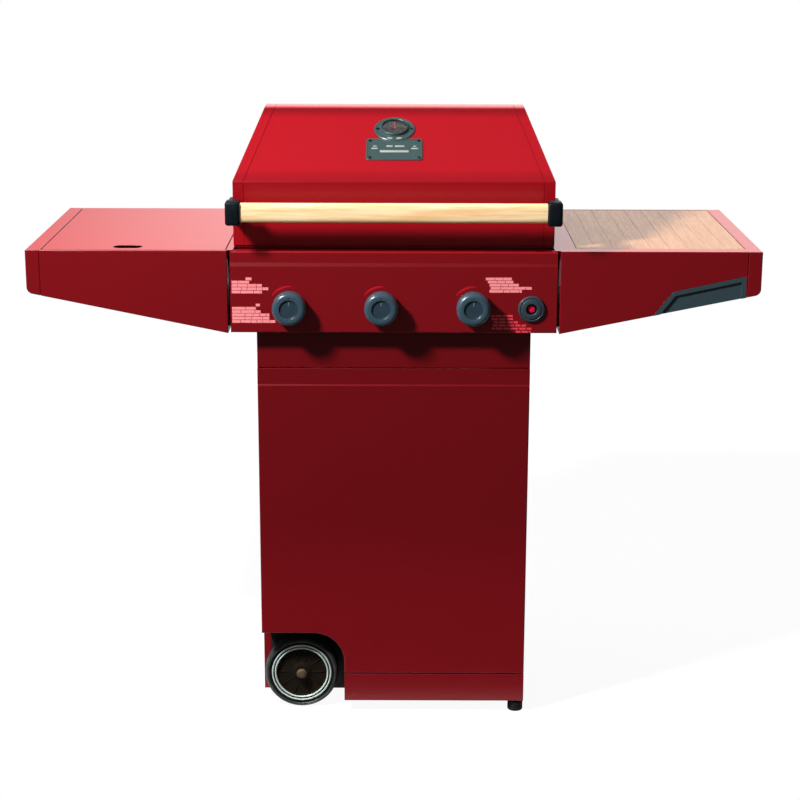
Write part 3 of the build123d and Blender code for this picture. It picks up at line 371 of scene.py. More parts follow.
# Painted light and shade by height, in metres: start, end and share, as enamel takes them.
# On the lid: painted shade near the top of the slope and at its foot, lighter again low on the skirt, and a
# painted highlight along the top edge.
slope_painted_light_bands = ((1.144, 1.161, 0.6), (1.072, 1.053, 0.76), (1.1615, 1.1635, 3.2), (1.049, 1.043, 1.22))
# On the cabinet and panel: painted shade over the cabinet above its lower part, and painted light and shade
# in steps from the panel's lower edge up to its ledge and top edge.
cabinet_painted_light_bands = (
    (0.20, 0.42, 0.78), (0.765, 0.7715, 1.28), (0.8965, 0.8985, 0.72), (0.9025, 0.905, 1.45),
    (0.9205, 0.9235, 1.4),
)
firebox_rim_low = 0.912
finishes = {
    "red_enamel": enamel("red_enamel", red, painted_light_bands=cabinet_painted_light_bands),
    "shelf_enamel": enamel("shelf_enamel", red, painted_light_top=painted_light_top_red),
    "lid_enamel": enamel("lid_enamel", painted_light_lid_red, gloss=0.265, painted_light_bands=slope_painted_light_bands),
    # The wheel wells' enamel is near black, darker than the dark enamel: dark paint deepened with painted
    # shade of the recesses.
    "well_enamel": enamel("well_enamel", (0.006, 0.006, 0.0065, 1.0), gloss=0.6),
    "dark_enamel": enamel("dark_enamel", (0.02, 0.02, 0.022, 1.0), gloss=0.4),
    # The firebox rim takes the lid's brighter red, and with it the lid's painted light.
    "cast_body": cast_with_painted_rim("cast_body", tint(66, 66, 66), painted_light_lid_red, firebox_rim_low),
    "grate_enamel": grate_coat("grate_enamel"),
    "stainless": brushed("stainless", (0.56, 0.55, 0.52, 1.0), 0.32, (1, 0.03, 1)),
    "zinc_steel": brushed("zinc_steel", (0.5, 0.51, 0.52, 1.0), 0.36, (1, 0.1, 1)),
    "chrome_trim": brushed("chrome_trim", (0.66, 0.69, 0.69, 1.0), 0.2, (1, 1, 1)),
    "brass_fittings": brushed("brass_fittings", (0.56, 0.42, 0.2, 1.0), 0.34, (1, 0.3, 1)),
    "handle_wood": timber("handle_wood", tint(252, 224, 176), tint(240, 190, 132), "X", 0.36, coat=0.15),
    "board_wood": timber("board_wood", tint(194, 140, 98), tint(176, 124, 86), "Y", 0.36, stave=34 * MM),
    "black_plastic": moulded("black_plastic", tint(5, 14, 20), 0.5, wear=(26, 34, 40)),
    "knob_plastic": moulded("knob_plastic", tint(52, 72, 83), 0.25, depth=0.004 * MM),
    "grip_plastic": moulded("grip_plastic", tint(46, 64, 70), 0.4),
    "tray_plastic": moulded("tray_plastic", tint(34, 36, 38), 0.45),
    "wheel_plastic": moulded("wheel_plastic", tint(20, 13, 5), 0.75, wear=(28, 20, 14)),
    "tyre_rubber": rubber("tyre_rubber"),
    "button_plastic": moulded("button_plastic", tint(218, 12, 66), 0.25, wear=(226, 70, 100)),
    "needle_paint": paint_spot("needle_paint", tint(206, 30, 40)),
    "gauge_glass": clear_glass("gauge_glass"),
    "plate_metal": brushed("plate_metal", (0.36, 0.42, 0.42, 1.0), 0.36, (0.04, 1, 1)),
    "galvanised": spangled("galvanised", (0.52, 0.53, 0.54, 1.0)),
    "ceramic": glazed("ceramic"),
}
dull(finishes["wheel_plastic"], "IOR", 1.2)
dull(finishes["black_plastic"], "IOR", 1.3)

# Looks of single pieces, in place of the plain finish of their slot.
pale_paint = paint_spot("pale_paint", tint(150, 156, 150))
pale_print = paint_spot("pale_print", tint(252, 146, 150))
rose_print = paint_spot("rose_print", tint(226, 62, 76))
arc_print = paint_spot("arc_print", tint(186, 12, 28))
pointer_paint = paint_spot("pointer_paint", tint(92, 110, 118))
insert_plastic = moulded("insert_plastic", tint(36, 54, 66), 0.4, depth=0.004 * MM)
bezel_plastic = moulded("bezel_plastic", tint(42, 56, 64), 0.4)
dull_brass = brushed("dull_brass", tint(92, 74, 48), 0.7, (1, 1, 1))
dull(dull_brass, "Metallic", 0.4)
dial_paint = paint_spot("dial_paint", tint(40, 45, 43), gloss=0.5)
dark_steel = brushed("dark_steel", tint(58, 66, 70), 0.4, (1, 1, 1))
badge_metal = brushed("badge_metal", tint(66, 86, 86), 0.34, (0.05, 1, 1))
dull(badge_metal, "Metallic", 0.3)
trim_paint = paint_spot("trim_paint", tint(180, 196, 190), gloss=0.3)

for part in frame["record"]["subparts"]:
    mesh = nodes[part["node"]].data
    mesh.materials.clear()
    mesh.materials.append(finishes[part["material_slot"]])


# ---------------------------------------------------------------- mesh kit
merge_gap, sliver = 0.002 * MM, 0.001 * MM


def facing_out(origin, normal):
    """Axes at origin with local Z along the normal and local X level."""
    out = Vector(normal).normalized()
    level = Vector((0, 0, 1)).cross(out) if abs(out.z) < 0.99 else Vector((1, 0, 0))
    level.normalize()
    up = out.cross(level)
    turn = Matrix((level, up, out)).transposed().to_4x4()
    return Matrix.Translation(Vector(origin)) @ turn


class Shape:
    """A mesh under construction, in the frame's coordinates."""

    def __init__(self):
        self.mesh = bmesh.new()

    def rings(self, rows, cap=True):
        """Joins rows of points into a skin; each row is a loop of the same length."""
        made = [[self.mesh.verts.new(point) for point in row] for row in rows]
        count = len(made[0])
        for lower, upper in zip(made, made[1:]):
            for index in range(count):
                after = (index + 1) % count
                self.mesh.faces.new((lower[index], lower[after], upper[after], upper[index]))
        if cap:
            self.mesh.faces.new(list(reversed(made[0])))
            self.mesh.faces.new(made[-1])

    def lathe(self, axes, profile, steps=72, flute=None, solid=True):
        """Revolves (radius, height) points round local Z; a solid profile starts and ends on it."""
        rows = []
        for radius, rise in profile:
            row = []
            for step in range(steps):
                angle = 2 * math.pi * step / steps
                reach = radius * (flute(angle, rise) if flute else 1)
                row.append(axes @ Vector((reach * math.cos(angle), reach * math.sin(angle), rise)))
            rows.append(row)
        if not solid:
            rows.append(rows[0])
        self.rings(rows, cap=solid)

    def block(self, low, high, edge=0.0, segments=2, axes=None):
        """A box with rounded edges between two corners, in local axes if given."""
        made = bmesh.ops.create_cube(self.mesh, size=1.0)["verts"]
        low, high = Vector(low), Vector(high)
        for vert in made:
            vert.co = Vector(low[i] + (vert.co[i] + 0.5) * (high[i] - low[i]) for i in range(3))
        if edge:
            # A list without repeats, as a set would hand over the edges in another order each run.
            edges = list(dict.fromkeys(link for vert in made for link in vert.link_edges))
            cut = bmesh.ops.bevel(
                self.mesh, geom=edges, offset=edge, segments=segments, profile=0.5, affect="EDGES",
            )
            rounded = {vert for face in cut["faces"] for vert in face.verts}
            made = list(rounded | {vert for vert in made if vert.is_valid})
        if axes is not None:
            for vert in made:
                vert.co = axes @ vert.co

    def finish(self, name, slot, body, *replaced, crease=35.0, look=None):
        """Makes the piece, gives it its finish and lets it ride on a CAD body."""
        bmesh.ops.remove_doubles(self.mesh, verts=self.mesh.verts, dist=merge_gap)
        bmesh.ops.dissolve_degenerate(self.mesh, edges=self.mesh.edges, dist=sliver)
        bmesh.ops.recalc_face_normals(self.mesh, faces=self.mesh.faces)
        for face in self.mesh.faces:
            face.smooth = True
        for edge in self.mesh.edges:
            if len(edge.link_faces) == 2 and edge.calc_face_angle(0.0) > math.radians(crease):
                edge.smooth = False
        data = bpy.data.meshes.new(name)
        self.mesh.to_mesh(data)
        self.mesh.free()
        piece = bpy.data.objects.new(name, data)
        bpy.context.scene.collection.objects.link(piece)
        data.materials.append(look or finishes[slot])
        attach(piece, body)
        if replaced:
            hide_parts(*replaced)
        return piece


def middle(node):
    """The centre of a CAD node's box."""
    low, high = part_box(node)
    return (low + high) / 2


def arc_points(centre, radius, start, end, count):
    """Points (x, y) on an arc, with angles in degrees."""
    points = []
    for step in range(count + 1):
        angle = math.radians(start + (end - start) * step / count)
        points.append((centre[0] + radius * math.cos(angle), centre[1] + radius * math.sin(angle)))
    return points


def screw_head(shape, axes, radius, rise, slot_width=0.0):
    """A domed head; with slot_width it gets a raised cross with arms of that width."""
    shoulder, dome = 0.35, arc_points((0, 0), 1, 0, 90, 6)
    profile = [(radius * x, rise * (shoulder + (1 - shoulder) * y)) for x, y in dome]
    shape.lathe(axes, [(0, 0), (radius, 0)] + profile, steps=28)
    if slot_width:
        arm, half, low, high = radius * 0.62, slot_width / 2, rise * 0.75, rise * 1.04
        for x, y in ((half, arm), (arm, half)):
            shape.block((-x, -y, low), (x, y, high), axes=axes)


# The face of the control panel, and the lid's front slope: the crease that it starts from, its
# run, and how far back the thermometer and the badge sit on it.
face_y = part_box("control_panel")[0].y
front = (0, -1, 0)
crease_z, lid_front_y, slope_run = 1.051, face_y + 0.030, 0.223
gauge_y, badge_y = face_y + 0.181, face_y + 0.1215
slope = math.atan2(cad_box[1].z - crease_z, slope_run)
slope_normal = (0, -math.sin(slope), math.cos(slope))


def on_slope(x, y):
    """Axes on the lid's front slope, with local Y running up it."""
    z = crease_z + (y - lid_front_y) * math.tan(slope)
    return facing_out((x, y, z), slope_normal)


# ---------------------------------------------------------------- knobs and igniter
def make_knob(name):
    """A burner knob: fluted side, bevelled rim, dished centre with a pointer rib."""
    body = f"knob_{name}"
    low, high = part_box(body)
    centre = middle(body)
    radius, depth = (high.x - low.x) / 2, high.y - low.y
    axes = facing_out((centre.x, high.y, centre.z), front)
    flutes, flute_depth, flute_middle, flute_reach = 36, 0.018, 0.36, 0.3

    def flute(angle, rise):
        """Shallow scallops on the side only."""
        share = max(0.0, 1 - abs(rise / depth - flute_middle) / flute_reach)
        return 1 - flute_depth * share * (0.5 + 0.5 * math.cos(flutes * angle))

    round_off, lip_radius, dish = 8.5 * MM, 1.2 * MM, 17.5 * MM
    dish_floor = depth - 3 * MM
    crown = arc_points((radius - round_off, depth - round_off), round_off, 6, 90, 12)
    lip = arc_points((dish + lip_radius, depth - lip_radius), lip_radius, 90, 180, 5)
    profile = [(0, 0), (radius - 1.2 * MM, 0), (radius - 0.2 * MM, 0.5 * MM), (radius, 2 * MM)]
    profile += [(radius - step * 0.1 * MM, (3 + step * 2.4) * MM) for step in range(5)]
    profile += crown + lip + [(dish, dish_floor), (0, dish_floor)]
    shape = Shape()
    shape.lathe(axes, profile, steps=144, flute=flute)
    shape.finish(f"knob_{name}_grip", "knob_plastic", body, body)

    mark = Shape()
    mark.block((-0.9 * MM, 19.4 * MM, depth - 0.5 * MM), (0.9 * MM, 22.4 * MM, depth), 0.2 * MM, axes=axes)
    mark.block((-1.1 * MM, 7 * MM, dish_floor), (1.1 * MM, 14 * MM, depth - 2.3 * MM), 0.3 * MM, axes=axes)
    mark.finish(f"knob_{name}_pointer", "knob_plastic", body, look=pointer_paint)

    side = dish - 0.15 * MM
    inset = [
        (0, depth - 3.2 * MM), (side, depth - 3.2 * MM), (side, depth - 2.2 * MM),
        (dish - 1.4 * MM, depth - 1.9 * MM), (dish - 2 * MM, depth - 2.5 * MM), (0, depth - 2.8 * MM),
    ]
    insert = Shape()
    insert.lathe(axes, inset, steps=72)
    insert.finish(f"knob_{name}_insert", "knob_plastic", body, look=insert_plastic)


def make_igniter():
    """Stepped bezel with a grip ring, and a domed push button."""
    low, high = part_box("igniter_bezel")
    centre = middle("igniter_bezel")
    radius, hole, sleeve = (high.x - low.x) / 2, 10 * MM, 12 * MM - 0.05 * MM
    axes = facing_out((centre.x, face_y, centre.z), front)
    back = face_y - high.y
    profile = [
        (hole, back), (sleeve, back), (sleeve, 0), (radius - 0.6 * MM, 0), (radius, 0.8 * MM),
        (radius, 2.2 * MM), (radius - 1.4 * MM, 4.2 * MM), (radius - 3.6 * MM, 4.9 * MM),
        (radius - 4.2 * MM, 4.3 * MM), (radius - 6 * MM, 4.3 * MM), (radius - 6.6 * MM, 5.4 * MM),
        (hole + 2.4 * MM, 7 * MM), (hole + 0.6 * MM, 6.6 * MM), (hole, 5.8 * MM),
    ]
    shape = Shape()
    shape.lathe(axes, profile, steps=72, solid=False)
    shape.finish("igniter_collar", "black_plastic", "cart", "igniter_bezel", look=bezel_plastic)

    low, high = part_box("igniter_button")
    button, stem, shoulder = (high.x - low.x) / 2, 4 * MM, -5 * MM
    reach, stem_back, dome_rise = face_y - low.y, face_y - high.y, 1.6 * MM
    profile = [(0, stem_back), (stem, stem_back), (stem, shoulder), (button, shoulder)]
    for angle in (0.0, 0.4, 0.8, 1.2, 1.5):
        profile.append((button * math.cos(angle), reach - dome_rise + dome_rise * math.sin(angle)))
    shape = Shape()
    shape.lathe(axes, profile + [(0, reach)], steps=48)
    shape.finish("igniter_cap", "button_plastic", "igniter_button", "igniter_button")


# ---------------------------------------------------------------- wheels and feet
def make_wheel(end, outward):
    """Tyre with sidewall ribs and tread grooves, ribbed hub disc, and two pale trim rings."""
    low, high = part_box(f"wheel_tyre_{end}")
    centre = middle(f"wheel_tyre_{end}")
    radius, width = (high.x - low.x) / 2, high.y - low.y
    outer_face = low.y if outward < 0 else high.y
    axes = facing_out((centre.x, outer_face, centre.z), (0, outward, 0))
    rim_low, rim_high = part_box(f"wheel_rim_{end}")
    rim = (rim_high.x - rim_low.x) / 2
    body = f"{end}_wheel"

    half, groove = width / 2, radius - 1.4 * MM
    side = [
        (rim, -1.5 * MM), (rim + 0.8 * MM, -0.4 * MM), (rim + 2 * MM, 0), (rim + 2.6 * MM, -0.6 * MM),
        (rim + 3.2 * MM, -0.1 * MM), (radius - 3.6 * MM, -0.8 * MM), (radius - 2.6 * MM, -1.8 * MM),
        (radius - 1.2 * MM, -3.6 * MM), (radius - 0.3 * MM, -6 * MM), (radius, -8 * MM),
        (radius, -10.4 * MM), (groove, -11 * MM), (groove, -12.6 * MM), (radius, -13.2 * MM),
        (radius, -half + 1 * MM), (groove, -half + 0.6 * MM),
    ]
    profile = side + [(reach, -width - rise) for reach, rise in reversed(side)]
    shape = Shape()
    shape.lathe(axes, profile, steps=96, solid=False)
    shape.finish(f"tyre_{end}", "tyre_rubber", body, f"wheel_tyre_{end}")

    bore, hub, web = 6.06 * MM, 16 * MM, -half - 3 * MM
    disc = [
        (bore, -3.2 * MM), (12 * MM, -3.0 * MM), (14.6 * MM, -3.4 * MM), (17 * MM, -5.4 * MM),
        (22 * MM, -7.4 * MM), (44 * MM, -8.2 * MM), (48 * MM, -7.4 * MM), (51 * MM, -4 * MM),
        (52 * MM, -2.4 * MM), (rim - 1 * MM, -2.2 * MM), (rim, -3 * MM), (rim, -width + 2 * MM),
        (rim - 3 * MM, -width + 2 * MM), (rim - 3 * MM, web), (hub, web), (hub, -width + 1 * MM),
        (bore, -width + 1 * MM),
    ]
    shape = Shape()
    shape.lathe(axes, disc, steps=96, solid=False)
    spokes, spoke_low, spoke_high = 10, (20 * MM, -1.6 * MM, -9 * MM), (48 * MM, 1.6 * MM, -6.8 * MM)
    for spoke in range(spokes):
        turned = axes @ Matrix.Rotation(2 * math.pi * spoke / spokes, 4, "Z")
        shape.block(spoke_low, spoke_high, 0.7 * MM, axes=turned)
    shape.finish(f"hub_disc_{end}", "wheel_plastic", body, f"wheel_rim_{end}")

    shape = Shape()
    seat, shoulder = -2.8 * MM, 0.6 * MM
    for inner, outer, rise in ((49.8 * MM, 53.4 * MM, -1.1 * MM), (55.6 * MM, 59.2 * MM, -0.9 * MM)):
        band = [
            (inner, seat), (inner + shoulder, rise - shoulder), ((inner + outer) / 2, rise),
            (outer - shoulder, rise - shoulder), (outer, seat),
        ]
        shape.lathe(axes, band, steps=96, solid=False)
    shape.finish(f"trim_ring_{end}", "chrome_trim", body, look=trim_paint)


def make_axle_caps():
    """Domed push-on caps with a rolled edge, at both ends of the axle."""
    low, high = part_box("axle_caps")
    centre = middle("axle_caps")
    radius, bore, dimple = (high.x - low.x) / 2, 5.95 * MM, 1 * MM
    profile = [
        (bore, -5 * MM), (radius - 0.5 * MM, -5 * MM), (radius, -4.4 * MM), (radius, -3.6 * MM),
        (radius - 1.2 * MM, -3 * MM), (radius - 2 * MM, -1.6 * MM), (radius - 4 * MM, -0.5 * MM),
        (2 * MM, 0), (dimple, -0.3 * MM), (dimple, -1.2 * MM), (bore, -1.4 * MM),
    ]
    shape = Shape()
    for y, outward in ((low.y, -1), (high.y, 1)):
        axes = facing_out((centre.x, y, centre.z), (0, outward, 0))
        shape.lathe(axes, profile, steps=40, solid=False)
    shape.finish("hub_caps", "brass_fittings", "cart", "axle_caps", look=dull_brass)


def make_feet():
    """Ribbed levelling feet with a stud."""
    low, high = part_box("feet")
    radius = (high.x - low.x) / 2
    ribs, first_rib, rib_pitch, groove = 3, 4, 5, radius - 1 * MM
    foot = [(0, 0), (radius - 2.5 * MM, 0), (groove, 0.6 * MM), (radius - 0.2 * MM, 2 * MM)]
    for rib in range(ribs):
        rise = (first_rib + rib * rib_pitch) * MM
        foot += [(radius, rise), (radius, rise + 2.4 * MM)]
        foot += [(groove, rise + 3 * MM), (groove, rise + 4.4 * MM)]
    foot += [(radius - 2.5 * MM, 21 * MM), (radius - 4 * MM, 23.9 * MM), (0, 23.9 * MM)]
    stud_radius, stud_low, stud_high = 4 * MM, 23.5 * MM, 36 * MM
    stud = [
        (0, stud_low), (stud_radius, stud_low), (stud_radius, stud_high - 1 * MM),
        (stud_radius - 0.6 * MM, stud_high), (0, stud_high),
    ]
    shape = Shape()
    for y in (low.y + radius, high.y - radius):
        axes = facing_out((middle("feet").x, y, 0), (0, 0, 1))
        shape.lathe(axes, foot, steps=48)
        shape.lathe(axes, stud, steps=24)
    shape.finish("levelling_feet", "black_plastic", "cart", "feet")


# ---------------------------------------------------------------- lid handle
def make_handle():
    """A crowned wooden bar between two moulded end blocks with arms to the lid."""
    low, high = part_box("lid_handle")
    centre = (low + high) / 2
    half = (high - low) / 2
    stations, corners, squareness = 40, 64, 3.6
    power = 2 / squareness
    rows = []
    for station in range(stations + 1):
        x = low.x + (high.x - low.x) * station / stations
        row = []
        for corner in range(corners):
            angle = 2 * math.pi * corner / corners
            across, up = math.cos(angle), math.sin(angle)
            y = centre.y + half.y * math.copysign(abs(across) ** power, across)
            z = centre.z + half.z * math.copysign(abs(up) ** power, up)
            row.append(Vector((x, y, z)))
        rows.append(row)
    shape = Shape()
    shape.rings(rows)
    shape.finish("handle_bar", "handle_wood", "lid", "lid_handle")

    low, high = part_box("handle_blocks")
    lid_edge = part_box("lid_end_right")[1].x
    arm_low, arm_high, arm_front, grip_back = 0.988, 1.016, face_y - 0.020, face_y - 0.010
    plug = [(0, -0.5 * MM), (6 * MM, -0.5 * MM), (6 * MM, -0.3 * MM), (5 * MM, -0.1 * MM), (0, -0.1 * MM)]
    shape = Shape()
    for side in (-1, 1):
        inner, outer, lid_side = centre.x + side * half.x, side * high.x, side * lid_edge
        block_low = (min(inner, outer), low.y, low.z)
        block_high = (max(inner, outer), grip_back, high.z)
        shape.block(block_low, block_high, 5 * MM, segments=4)
        strip_low = (min(lid_side, outer), arm_front, arm_low)
        strip_high = (max(lid_side, outer), high.y, arm_high)
        shape.block(strip_low, strip_high, 2.2 * MM, segments=3)
        end = facing_out((outer, (low.y + grip_back) / 2, centre.z), (side, 0, 0))
        shape.lathe(end, plug, steps=36)
    shape.finish("handle_mounts", "black_plastic", "lid", "handle_blocks")

    sunk, arm_middle = 1.2 * MM, (arm_low + arm_high) / 2
    screws = Shape()
    for side in (-1, 1):
        for y in (face_y + 0.038, face_y + 0.060):
            end = facing_out((side * (high.x - sunk), y, arm_middle), (side, 0, 0))
            screw_head(screws, end, 4.2 * MM, 1.1 * MM)
    screws.finish("handle_screws", "zinc_steel", "lid")


# ---------------------------------------------------------------- thermometer and badge
def make_gauge():
    """Cast flange with two screws, a barrel, a printed dial, a tapered needle and flat glass."""
    axes = on_slope(0.0, gauge_y)
    reach, barrel, dial, dial_floor = 39 * MM, 26 * MM, 24 * MM, 4.2 * MM
    flange = [
        (0, -1 * MM), (reach - 0.4 * MM, -1 * MM), (reach, 0), (reach, 1.6 * MM), (reach - 1 * MM, 2.6 * MM),
        (reach - 3 * MM, 2.9 * MM), (reach - 4 * MM, 2.3 * MM), (barrel + 2 * MM, 2.3 * MM),
        (barrel, 3.4 * MM), (barrel, 7.4 * MM), (barrel - 0.8 * MM, 8.4 * MM), (dial + 0.6 * MM, 8.4 * MM),
        (dial, 7.8 * MM), (dial, dial_floor), (0, dial_floor),
    ]
    probe, probe_end, probe_root = 4 * MM, -50 * MM, -0.9 * MM
    stem = [
        (0, probe_end), (probe - 0.6 * MM, probe_end), (probe, probe_end + 1 * MM), (probe, probe_root),
        (0, probe_root),
    ]
    shape = Shape()
    shape.lathe(axes, flange, steps=96)
    shape.lathe(axes, stem, steps=24)
    shape.finish("gauge_body", "plate_metal", "lid", "gauge_case", look=badge_metal)

    face_low, face_high, face_edge = 4.0 * MM, 4.35 * MM, dial - 0.1 * MM
    face = Shape()
    face.lathe(axes, [(0, face_low), (face_edge, face_low), (face_edge, face_high), (0, face_high)], steps=64)
    face.finish("gauge_dial", "black_plastic", "lid", look=dial_paint)

    ticks, first_angle, sweep, tick_end, tick_half = 11, 225, 270, 21.5 * MM, 0.35 * MM
    marks = Shape()
    for tick in range(ticks):
        turned = axes @ Matrix.Rotation(math.radians(first_angle - sweep * tick / (ticks - 1)), 4, "Z")
        length = 4.5 * MM if tick % 5 == 0 else 2.6 * MM
        low_corner = (tick_end - length, -tick_half, 4.3 * MM)
        marks.block(low_corner, (tick_end, tick_half, 4.5 * MM), axes=turned)
    bar_gap, bar_half, bar_low, bar_high = 9 * MM, 5 * MM, -(barrel + 8 * MM), -(barrel + 3 * MM)
    for side in (-1, 1):
        centre = side * bar_gap
        low_corner = (centre - bar_half, bar_low, 2.1 * MM)
        marks.block(low_corner, (centre + bar_half, bar_high, 2.55 * MM), 0.15 * MM, axes=axes)
    marks.finish("gauge_marks", "gauge_glass", "lid", look=pale_paint)

    screws = Shape()
    for side in (-1, 1):
        spot = axes @ Matrix.Translation((side * 32 * MM, 0, 2.2 * MM))
        screw_head(screws, spot, 3.4 * MM, 1.8 * MM, slot_width=0.9 * MM)
    screws.finish("gauge_screws", "black_plastic", "lid", look=dark_steel)

    tip, tail, needle_low, needle_high = 19 * MM, 5 * MM, 5.0 * MM, 5.8 * MM
    up_the_slope = math.radians(90)
    tilt = axes @ Matrix.Rotation(up_the_slope, 4, "Z")
    outline = [
        (-tail, -1.5 * MM), (0, -1.7 * MM), (tip, -0.35 * MM), (tip, 0.35 * MM), (0, 1.7 * MM),
        (-tail, 1.5 * MM),
    ]
    hub = [
        (0, needle_low), (3 * MM, needle_low), (3.2 * MM, needle_high), (2.2 * MM, 6.4 * MM),
        (0, 6.5 * MM),
    ]
    needle = Shape()
    needle.rings([[tilt @ Vector((x, y, rise)) for x, y in outline] for rise in (needle_low, needle_high)])
    needle.lathe(axes, hub, steps=32)
    needle.finish("needle_pointer", "needle_paint", "gauge_needle", "gauge_needle")

    pane = [
        (0, 7 * MM), (face_edge, 7 * MM), (face_edge, 7.5 * MM), (dial - 1 * MM, 7.7 * MM), (0, 8.1 * MM),
    ]
    glass = Shape()
    glass.lathe(axes, pane, steps=64)
    glass.finish("gauge_window", "gauge_glass", "lid", "gauge_glass")


def make_badge():
    """A cast plate with a raised border, plain relief bars in place of words, and four screws."""
    axes = on_slope(0.0, badge_y)
    half_width, half_height, thick, corner = 53 * MM, 35 * MM, 2 * MM, 5 * MM
    notch, notch_rise = 39.5 * MM, (gauge_y - badge_y) / math.cos(slope)
    opening = math.degrees(math.acos((notch_rise - half_height) / notch))
    outline = arc_points((0, notch_rise), notch, -90 + opening, -90 - opening, 16)
    for x, y, start in ((-1, 1, 90), (-1, -1, 180), (1, -1, 270), (1, 1, 360)):
        spot = (x * (half_width - corner), y * (half_height - corner))
        outline += arc_points(spot, corner, start, start + 90, 6)

    def loop(shrink, rise):
        """The outline drawn in by shrink, at a height above the lid."""
        across, up = 1 - shrink / half_width, 1 - shrink / half_height
        return [axes @ Vector((x * across, y * up, rise)) for x, y in outline]

    shape = Shape()
    shape.rings([
        loop(0, 0), loop(0, thick - 0.5 * MM), loop(0.5 * MM, thick), loop(3 * MM, thick),
        loop(3.5 * MM, thick - 0.6 * MM), loop(4.5 * MM, thick - 0.7 * MM),
    ])
    shape.finish("badge_plate", "plate_metal", "lid", "lid_plate", look=badge_metal)

    # Left, right, lower and upper edge of each bar, in mm from the plate's centre.
    bars_mm = (
        (-15, -3, 7, 12), (1, 19, 7, 12), (-43, -31, 0, 4), (32, 45, 0, 4), (-27, 27, -11, -4),
        (-40, -33, 8, 11), (36, 41, 8, 11),
    )
    bar_low, bar_high = thick - 0.8 * MM, thick - 0.1 * MM
    bars = Shape()
    for left, right, low, high in bars_mm:
        low_corner = (left * MM, low * MM, bar_low)
        bars.block(low_corner, (right * MM, high * MM, bar_high), 0.2 * MM, axes=axes)
    bars.finish("badge_relief", "plate_metal", "lid", look=pale_paint)

    inset, seat = 7 * MM, thick - 0.7 * MM
    screws = Shape()
    for x in (-1, 1):
        for y in (-1, 1):
            place = (x * (half_width - inset), y * (half_height - inset), seat)
            screw_head(screws, axes @ Matrix.Translation(place), 3.2 * MM, 2.2 * MM, slot_width=0.9 * MM)
    screws.finish("badge_screws", "zinc_steel", "lid", "plate_screws", look=dark_steel)


# ---------------------------------------------------------------- printing on the panel
ink_front, ink_back = face_y - 0.12 * MM, face_y + 0.02 * MM


def print_rows(shape, draw, left, top, pitch, tall, words, gap, rows):
    """Rows of plain bars, in place of words, from a place on the panel's face in metres.

    The rest is in mm: the rows' pitch and height, the shortest and longest word, the gap between
    words, and each row's indent and length.
    """
    shortest_end = 3 * MM
    for row, (indent, length) in enumerate(rows):
        z = top - row * pitch * MM
        x = left + indent * MM
        end = x + length * MM
        while x < end - shortest_end:
            width = min(draw.uniform(*words) * MM, end - x)
            shape.block((x, ink_front, z - tall * MM), (x + width, ink_back, z))
            x += width + gap * MM


def make_printing():
    """Plain rules in place of printed words, and a bright arc over each knob."""
    draw = random.Random(7)
    panel = Shape()
    for left, top, pitch, tall, rows in (
        (-0.300, 0.8770, 6.2, 5.3, ((26, 11), (0, 33), (0, 56), (0, 69), (0, 56))),
        (-0.300, 0.8275, 6.2, 5.3, ((44, 8), (0, 44), (0, 56), (0, 69), (0, 69), (0, 80))),
        (0.170, 0.8780, 5.8, 5.0, ((0, 48), (4, 47), (7, 54), (9, 76), (7, 60))),
    ):
        print_rows(panel, draw, left, top, pitch, tall, (9, 26), 0.8, rows)
    panel.finish("panel_printing", "red_enamel", "cart", look=pale_print)

    faint = Shape()
    faint_rows = ((0, 40), (1, 42), (5, 45), (3, 62), (1, 76), (46, 28))
    print_rows(faint, draw, 0.181, 0.8075, 6, 3.8, (6, 14), 2, faint_rows)
    faint.finish("panel_small_printing", "red_enamel", "cart", look=rose_print)

    arc_middle, arc_half, steps, first_angle, sweep = 38.5 * MM, 2 * MM, 20, 84, 62
    arcs = Shape()
    for name in ("left", "middle", "right"):
        centre = middle(f"knob_{name}")
        rows = []
        for step in range(steps + 1):
            angle = math.radians(first_angle + sweep * step / steps)
            half = arc_half * math.sin(math.pi * (0.12 + 0.76 * step / steps))
            inner, outer = arc_middle - half, arc_middle + half
            row = []
            for reach, y in ((inner, ink_back), (inner, ink_front), (outer, ink_front), (outer, ink_back)):
                x, z = centre.x + reach * math.cos(angle), centre.z + reach * math.sin(angle)
                row.append(Vector((x, y, z)))
            rows.append(row)
        arcs.rings(rows)
    arcs.finish("knob_arcs", "red_enamel", "cart", look=arc_print)


# ---------------------------------------------------------------- cutting board
def make_board():
    """Edge-glued staves with fine V joints and a rounded outer edge."""
    low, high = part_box("cutting_board")
    staves, groove = 9, 0.5 * MM
    pitch = (high.x - low.x) / staves
    shape = Shape()
    for stave in range(staves):
        left = low.x + stave * pitch
        shape.block((left, low.y, low.z), (left + pitch, high.y, high.z), groove, segments=1)
    shape.finish("board_staves", "board_wood", "cutting_board", "cutting_board", crease=30)


for knob_name in ("left", "middle", "right"):
    make_knob(knob_name)
make_igniter()
make_wheel("front", -1)
make_wheel("back", 1)
make_axle_caps()
make_feet()
make_handle()
make_gauge()
make_badge()
make_printing()
make_board()


# ---------------------------------------------------------------- floor, light and camera
def path_mix(tree, kind, otherwise, when):
    """A shader that differs for one kind of light ray."""
    path = tree.nodes.new("ShaderNodeLightPath")
    choice = tree.nodes.new("ShaderNodeMixShader")
    tree.links.new(path.outputs[kind], choice.inputs[0])
    tree.links.new(otherwise, choice.inputs[1])
    tree.links.new(when, choice.inputs[2])
    return choice.outputs[0]


